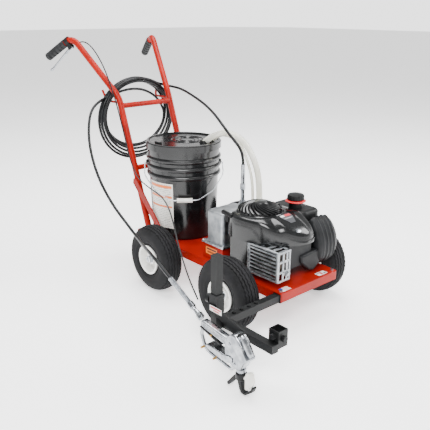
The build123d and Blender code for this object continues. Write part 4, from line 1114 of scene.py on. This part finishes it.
head = gun_plate(
    "gun_head",
    [(-462, 166), (-482, 184), (-498, 186), (-516, 172), (-548, 124), (-530, 108), (-520, 84),
     (-500, 80), (-486, 82), (-472, 92), (-458, 104), (-456, 140)],
    0.0195, 0.0055,
)
handle = gun_plate(
    "gun_handle", [(-456, 131), (-460, 157), (-352, 170), (-344, 166), (-342, 152), (-351, 146)],
    0.0115, 0.0055,
)
ribs = [
    gun_plate(
        "handle_rib",
        [(-450, 154 - k), (-356, 165.3 - k), (-356, 163.3 - k), (-450, 152 - k)],
        0.0124, 0.0007,
    )
    for k in (0, 4.2, 8.4, 12.6)
]
needle_direction = Vector((0, -0.60, -0.80))
needle_start = (gun_x, -0.5055, 0.184)
needle_tube = lathe_on(
    "needle_tube",
    [(0.0, 0.0), (0.0, 0.0112), (0.003, 0.0124), (0.008, 0.0124), (0.010, 0.0106), (0.056, 0.0106),
     (0.060, 0.0090), (0.066, 0.0072), (0.066, 0.0)],
    needle_start, needle_direction, 40,
)
screws = []
for y, z, r in ((-0.484, 0.104, 0.0062), (-0.478, 0.152, 0.0042), (-0.500, 0.098, 0.0036)):
    for side in (-1, 1):
        screws.append(lathe_on(
            "gun_screw",
            [
                (0.0, 0.0), (0.0, r), (0.0018, r), (0.0026, r - 0.0009), (0.0026, r * 0.45),
                (0.0014, r * 0.4), (0.0014, 0.0),
            ],
            (gun_x + side * 0.0193, y, z), (side, 0, 0), 20,
        ))
nozzle = lathe_on(
    "nozzle_nut",
    [
        (0.0, 0.0), (0.0, 0.0135), (0.003, 0.0150), (0.010, 0.0150), (0.012, 0.0130),
        (0.0135, 0.0130), (0.0135, 0.0),
    ],
    (gun_x, -0.508, 0.082), (0, 0, -1), 12,
)
assembled(
    "spray_gun", [head, handle, needle_tube, nozzle] + ribs + screws, 38.0,
    polished, "gun_holder", "cast_aluminium", "gun_body",
)
guard_bar = gun_plate(
    "trigger_guard",
    [(-350, 152), (-336, 140), (-331, 118), (-344, 84), (-360, 68), (-384, 63), (-468, 53),
     (-492, 74), (-492, 82), (-484, 82), (-466, 61), (-384, 72), (-364, 77), (-352, 92),
     (-342, 118), (-346, 138), (-356, 150)],
    0.0042, 0.0018,
)
inner_bar = gun_plate(
    "inner_bar", [
        (-432, 122), (-433, 130), (-350, 151), (-341, 149), (-342, 145), (-350, 144),
    ], 0.0136, 0.003,
)
needle_cap = lathe_on(
    "needle_cap", [
        (-0.006, 0.0), (-0.006, 0.0095), (-0.004, 0.0108), (0.001, 0.0122), (0.001, 0.0),
    ],
    needle_start, needle_direction, 32,
)
black_ring = join("gun_black_parts", [needle_cap, inner_bar])
finish(black_ring, nylon, "gun_holder", "dark_plastic")
brass = mottled(
    "turned_brass", "#b08a4c", 0.34, 1.0,
    ("#9c783e", "#c29a58"), (0.28, 0.44), 0.01, 0.0008, 0.00005,
)
pins = [
    lathe_on("pin", [
        (-0.0145, 0.0), (-0.0145, 0.0036), (0.0145, 0.0036), (0.0145, 0.0),
    ], (gun_x, y, z), (1, 0, 0), 20)
    for y, z in ((-0.350, 0.080), (-0.392, 0.1375), (-0.404, 0.0665))
]
assembled("guard_pins", pins, 32.0, brass, "gun_holder", "zinc_steel")
finish(guard_bar, polished, "gun_holder", "cast_aluminium")

# The chromed trigger turns on the head's pin: a bar for the fingers, and two cheeks that
# reach round the head.
bars = [
    gun_plate(
        "trigger_bar",
        [(-456, 86), (-457, 104), (-384, 106), (-372, 103), (-370, 96), (-388, 88), (-440, 82)],
        0.0165, 0.005,
    ),
]
for side in (-1, 1):
    bars.append(gun_plate(
        "trigger_cheek", [
            (-492, 98), (-492, 111), (-478, 114), (-446, 106), (-446, 88), (-478, 92),
        ],
        0.0014, 0.0009, gun_x + side * 0.0213,
    ))
assembled(
    "gun_trigger_bar", bars, 38.0,
    polished, "gun_trigger", "cast_aluminium", "gun_trigger",
)

# The hose's swivel: two hexagon nuts, a waisted stem and a close-wound spring guard.
swivel_direction = Vector((0, 0.078, 0.040)).normalized()
swivel_start = Vector((gun_x, -0.340, 0.166))
spring_start, spring_end = 0.068, 0.172
nuts = [
    lathe_on("nut", [
        (0.002, 0.0), (0.002, 0.0098), (0.004, 0.0118), (0.020, 0.0118), (0.022, 0.0100),
        (0.022, 0.0),
    ], swivel_start, swivel_direction, 6),
    lathe_on("nut", [
        (0.046, 0.0), (0.046, 0.0090), (0.048, 0.0108), (0.066, 0.0108), (0.068, 0.0092),
        (0.068, 0.0),
    ], swivel_start, swivel_direction, 6),
    lathe_on("stem", [
        (0.022, 0.0), (0.022, 0.0080), (0.030, 0.0080), (0.033, 0.0066), (0.040, 0.0066),
        (0.043, 0.0080), (0.046, 0.0080), (0.046, 0.0),
    ], swivel_start, swivel_direction, 32),
]
for nut in nuts[:2]:
    use_modifier(
        nut, "BEVEL", width=0.0006, segments=2, limit_method="ANGLE",
        angle_limit=math.radians(40),
    )
spring_pitch = 0.0026
spring_profile = [(spring_start, 0.0)]
for turn in range(40):
    start = spring_start + turn * spring_pitch
    spring_profile += [
        (start, 0.0066), (start + spring_pitch * 0.25, 0.0077),
        (start + spring_pitch * 0.5, 0.0081), (start + spring_pitch * 0.75, 0.0077),
    ]
spring_profile += [(spring_end, 0.0066), (spring_end, 0.0)]
spring = lathe_on("spring", spring_profile, swivel_start, swivel_direction, 28)
assembled(
    "swivel_and_spring", nuts + [spring], 50.0,
    polished, "gun_holder", "chrome_plate", "hose_swivel",
)

# ---- tip guard and tip --------------------------------------------------------------------
# A black nylon guard with a wing behind and a hooked loop in front, and a white acetal
# flag handle that turns the tip end for end.
wings = [
    gun_plate(
        "wing",
        [
            (-498, 52), (-486, 52), (-470, 31), (-456, 14), (-458, 7), (-466, 8), (-482, 28),
            (-498, 42),
        ],
        0.0085, 0.0025,
    ),
    gun_plate(
        "loop",
        [(-500, 52), (-514, 52), (-521, 18), (-530, 13), (-551, 31), (-557, 45), (-563, 43),
         (-557, 27), (-532, 6), (-515, 6), (-508, 16), (-500, 40)],
        0.0085, 0.0022,
    ),
]
collar = lathe_on(
    "collar", [
        (0.0, 0.0), (0.0, 0.0155), (0.002, 0.0168), (0.018, 0.0168), (0.021, 0.0150),
        (0.024, 0.0110), (0.024, 0.0),
    ],
    (gun_x, -0.508, 0.068), (0, 0, -1), 24,
)
assembled(
    "tip_guard_moulded", wings + [collar], 35.0,
    nylon, "tip_guard", "dark_plastic", "tip_guard",
)
flag = gun_plate(
    "tip_flag",
    [
        (-527, 64), (-530, 76), (-547, 86), (-555, 80), (-560, 56), (-551, 38), (-534, 21),
        (-527, 24),
    ],
    0.0060, 0.003,
)
barrel = lathe_on(
    "tip_barrel", [
        (-0.026, 0.0), (-0.026, 0.0058), (0.016, 0.0058), (0.016, 0.0),
    ], (gun_x, -0.508, 0.057), (0, 1, 0), 24
)
assembled(
    "reversible_tip", [flag, barrel], 38.0,
    acetal, "spray_tip", "tip_plastic", "spray_tip",
)

# ---- holder label -------------------------------------------------------------------------
# A small printed vinyl label stuck on the outer face of the gun's bracket.
holder_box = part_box("gun_holder")
label(
    "holder_label",
    lambda u, v: (holder_box[0][0] - 0.0004, -0.345 - 0.052 * u, 0.190 + 0.018 * v),
    printed("printed_vinyl_red_white", "#e6e3df", [
        ("#c0303a", 0.06, 0.94, 0.56, 0.86), ("#c0303a", 0.3, 0.8, 0.16, 0.4),
    ]),
    "gun_holder", "white_rim",
)
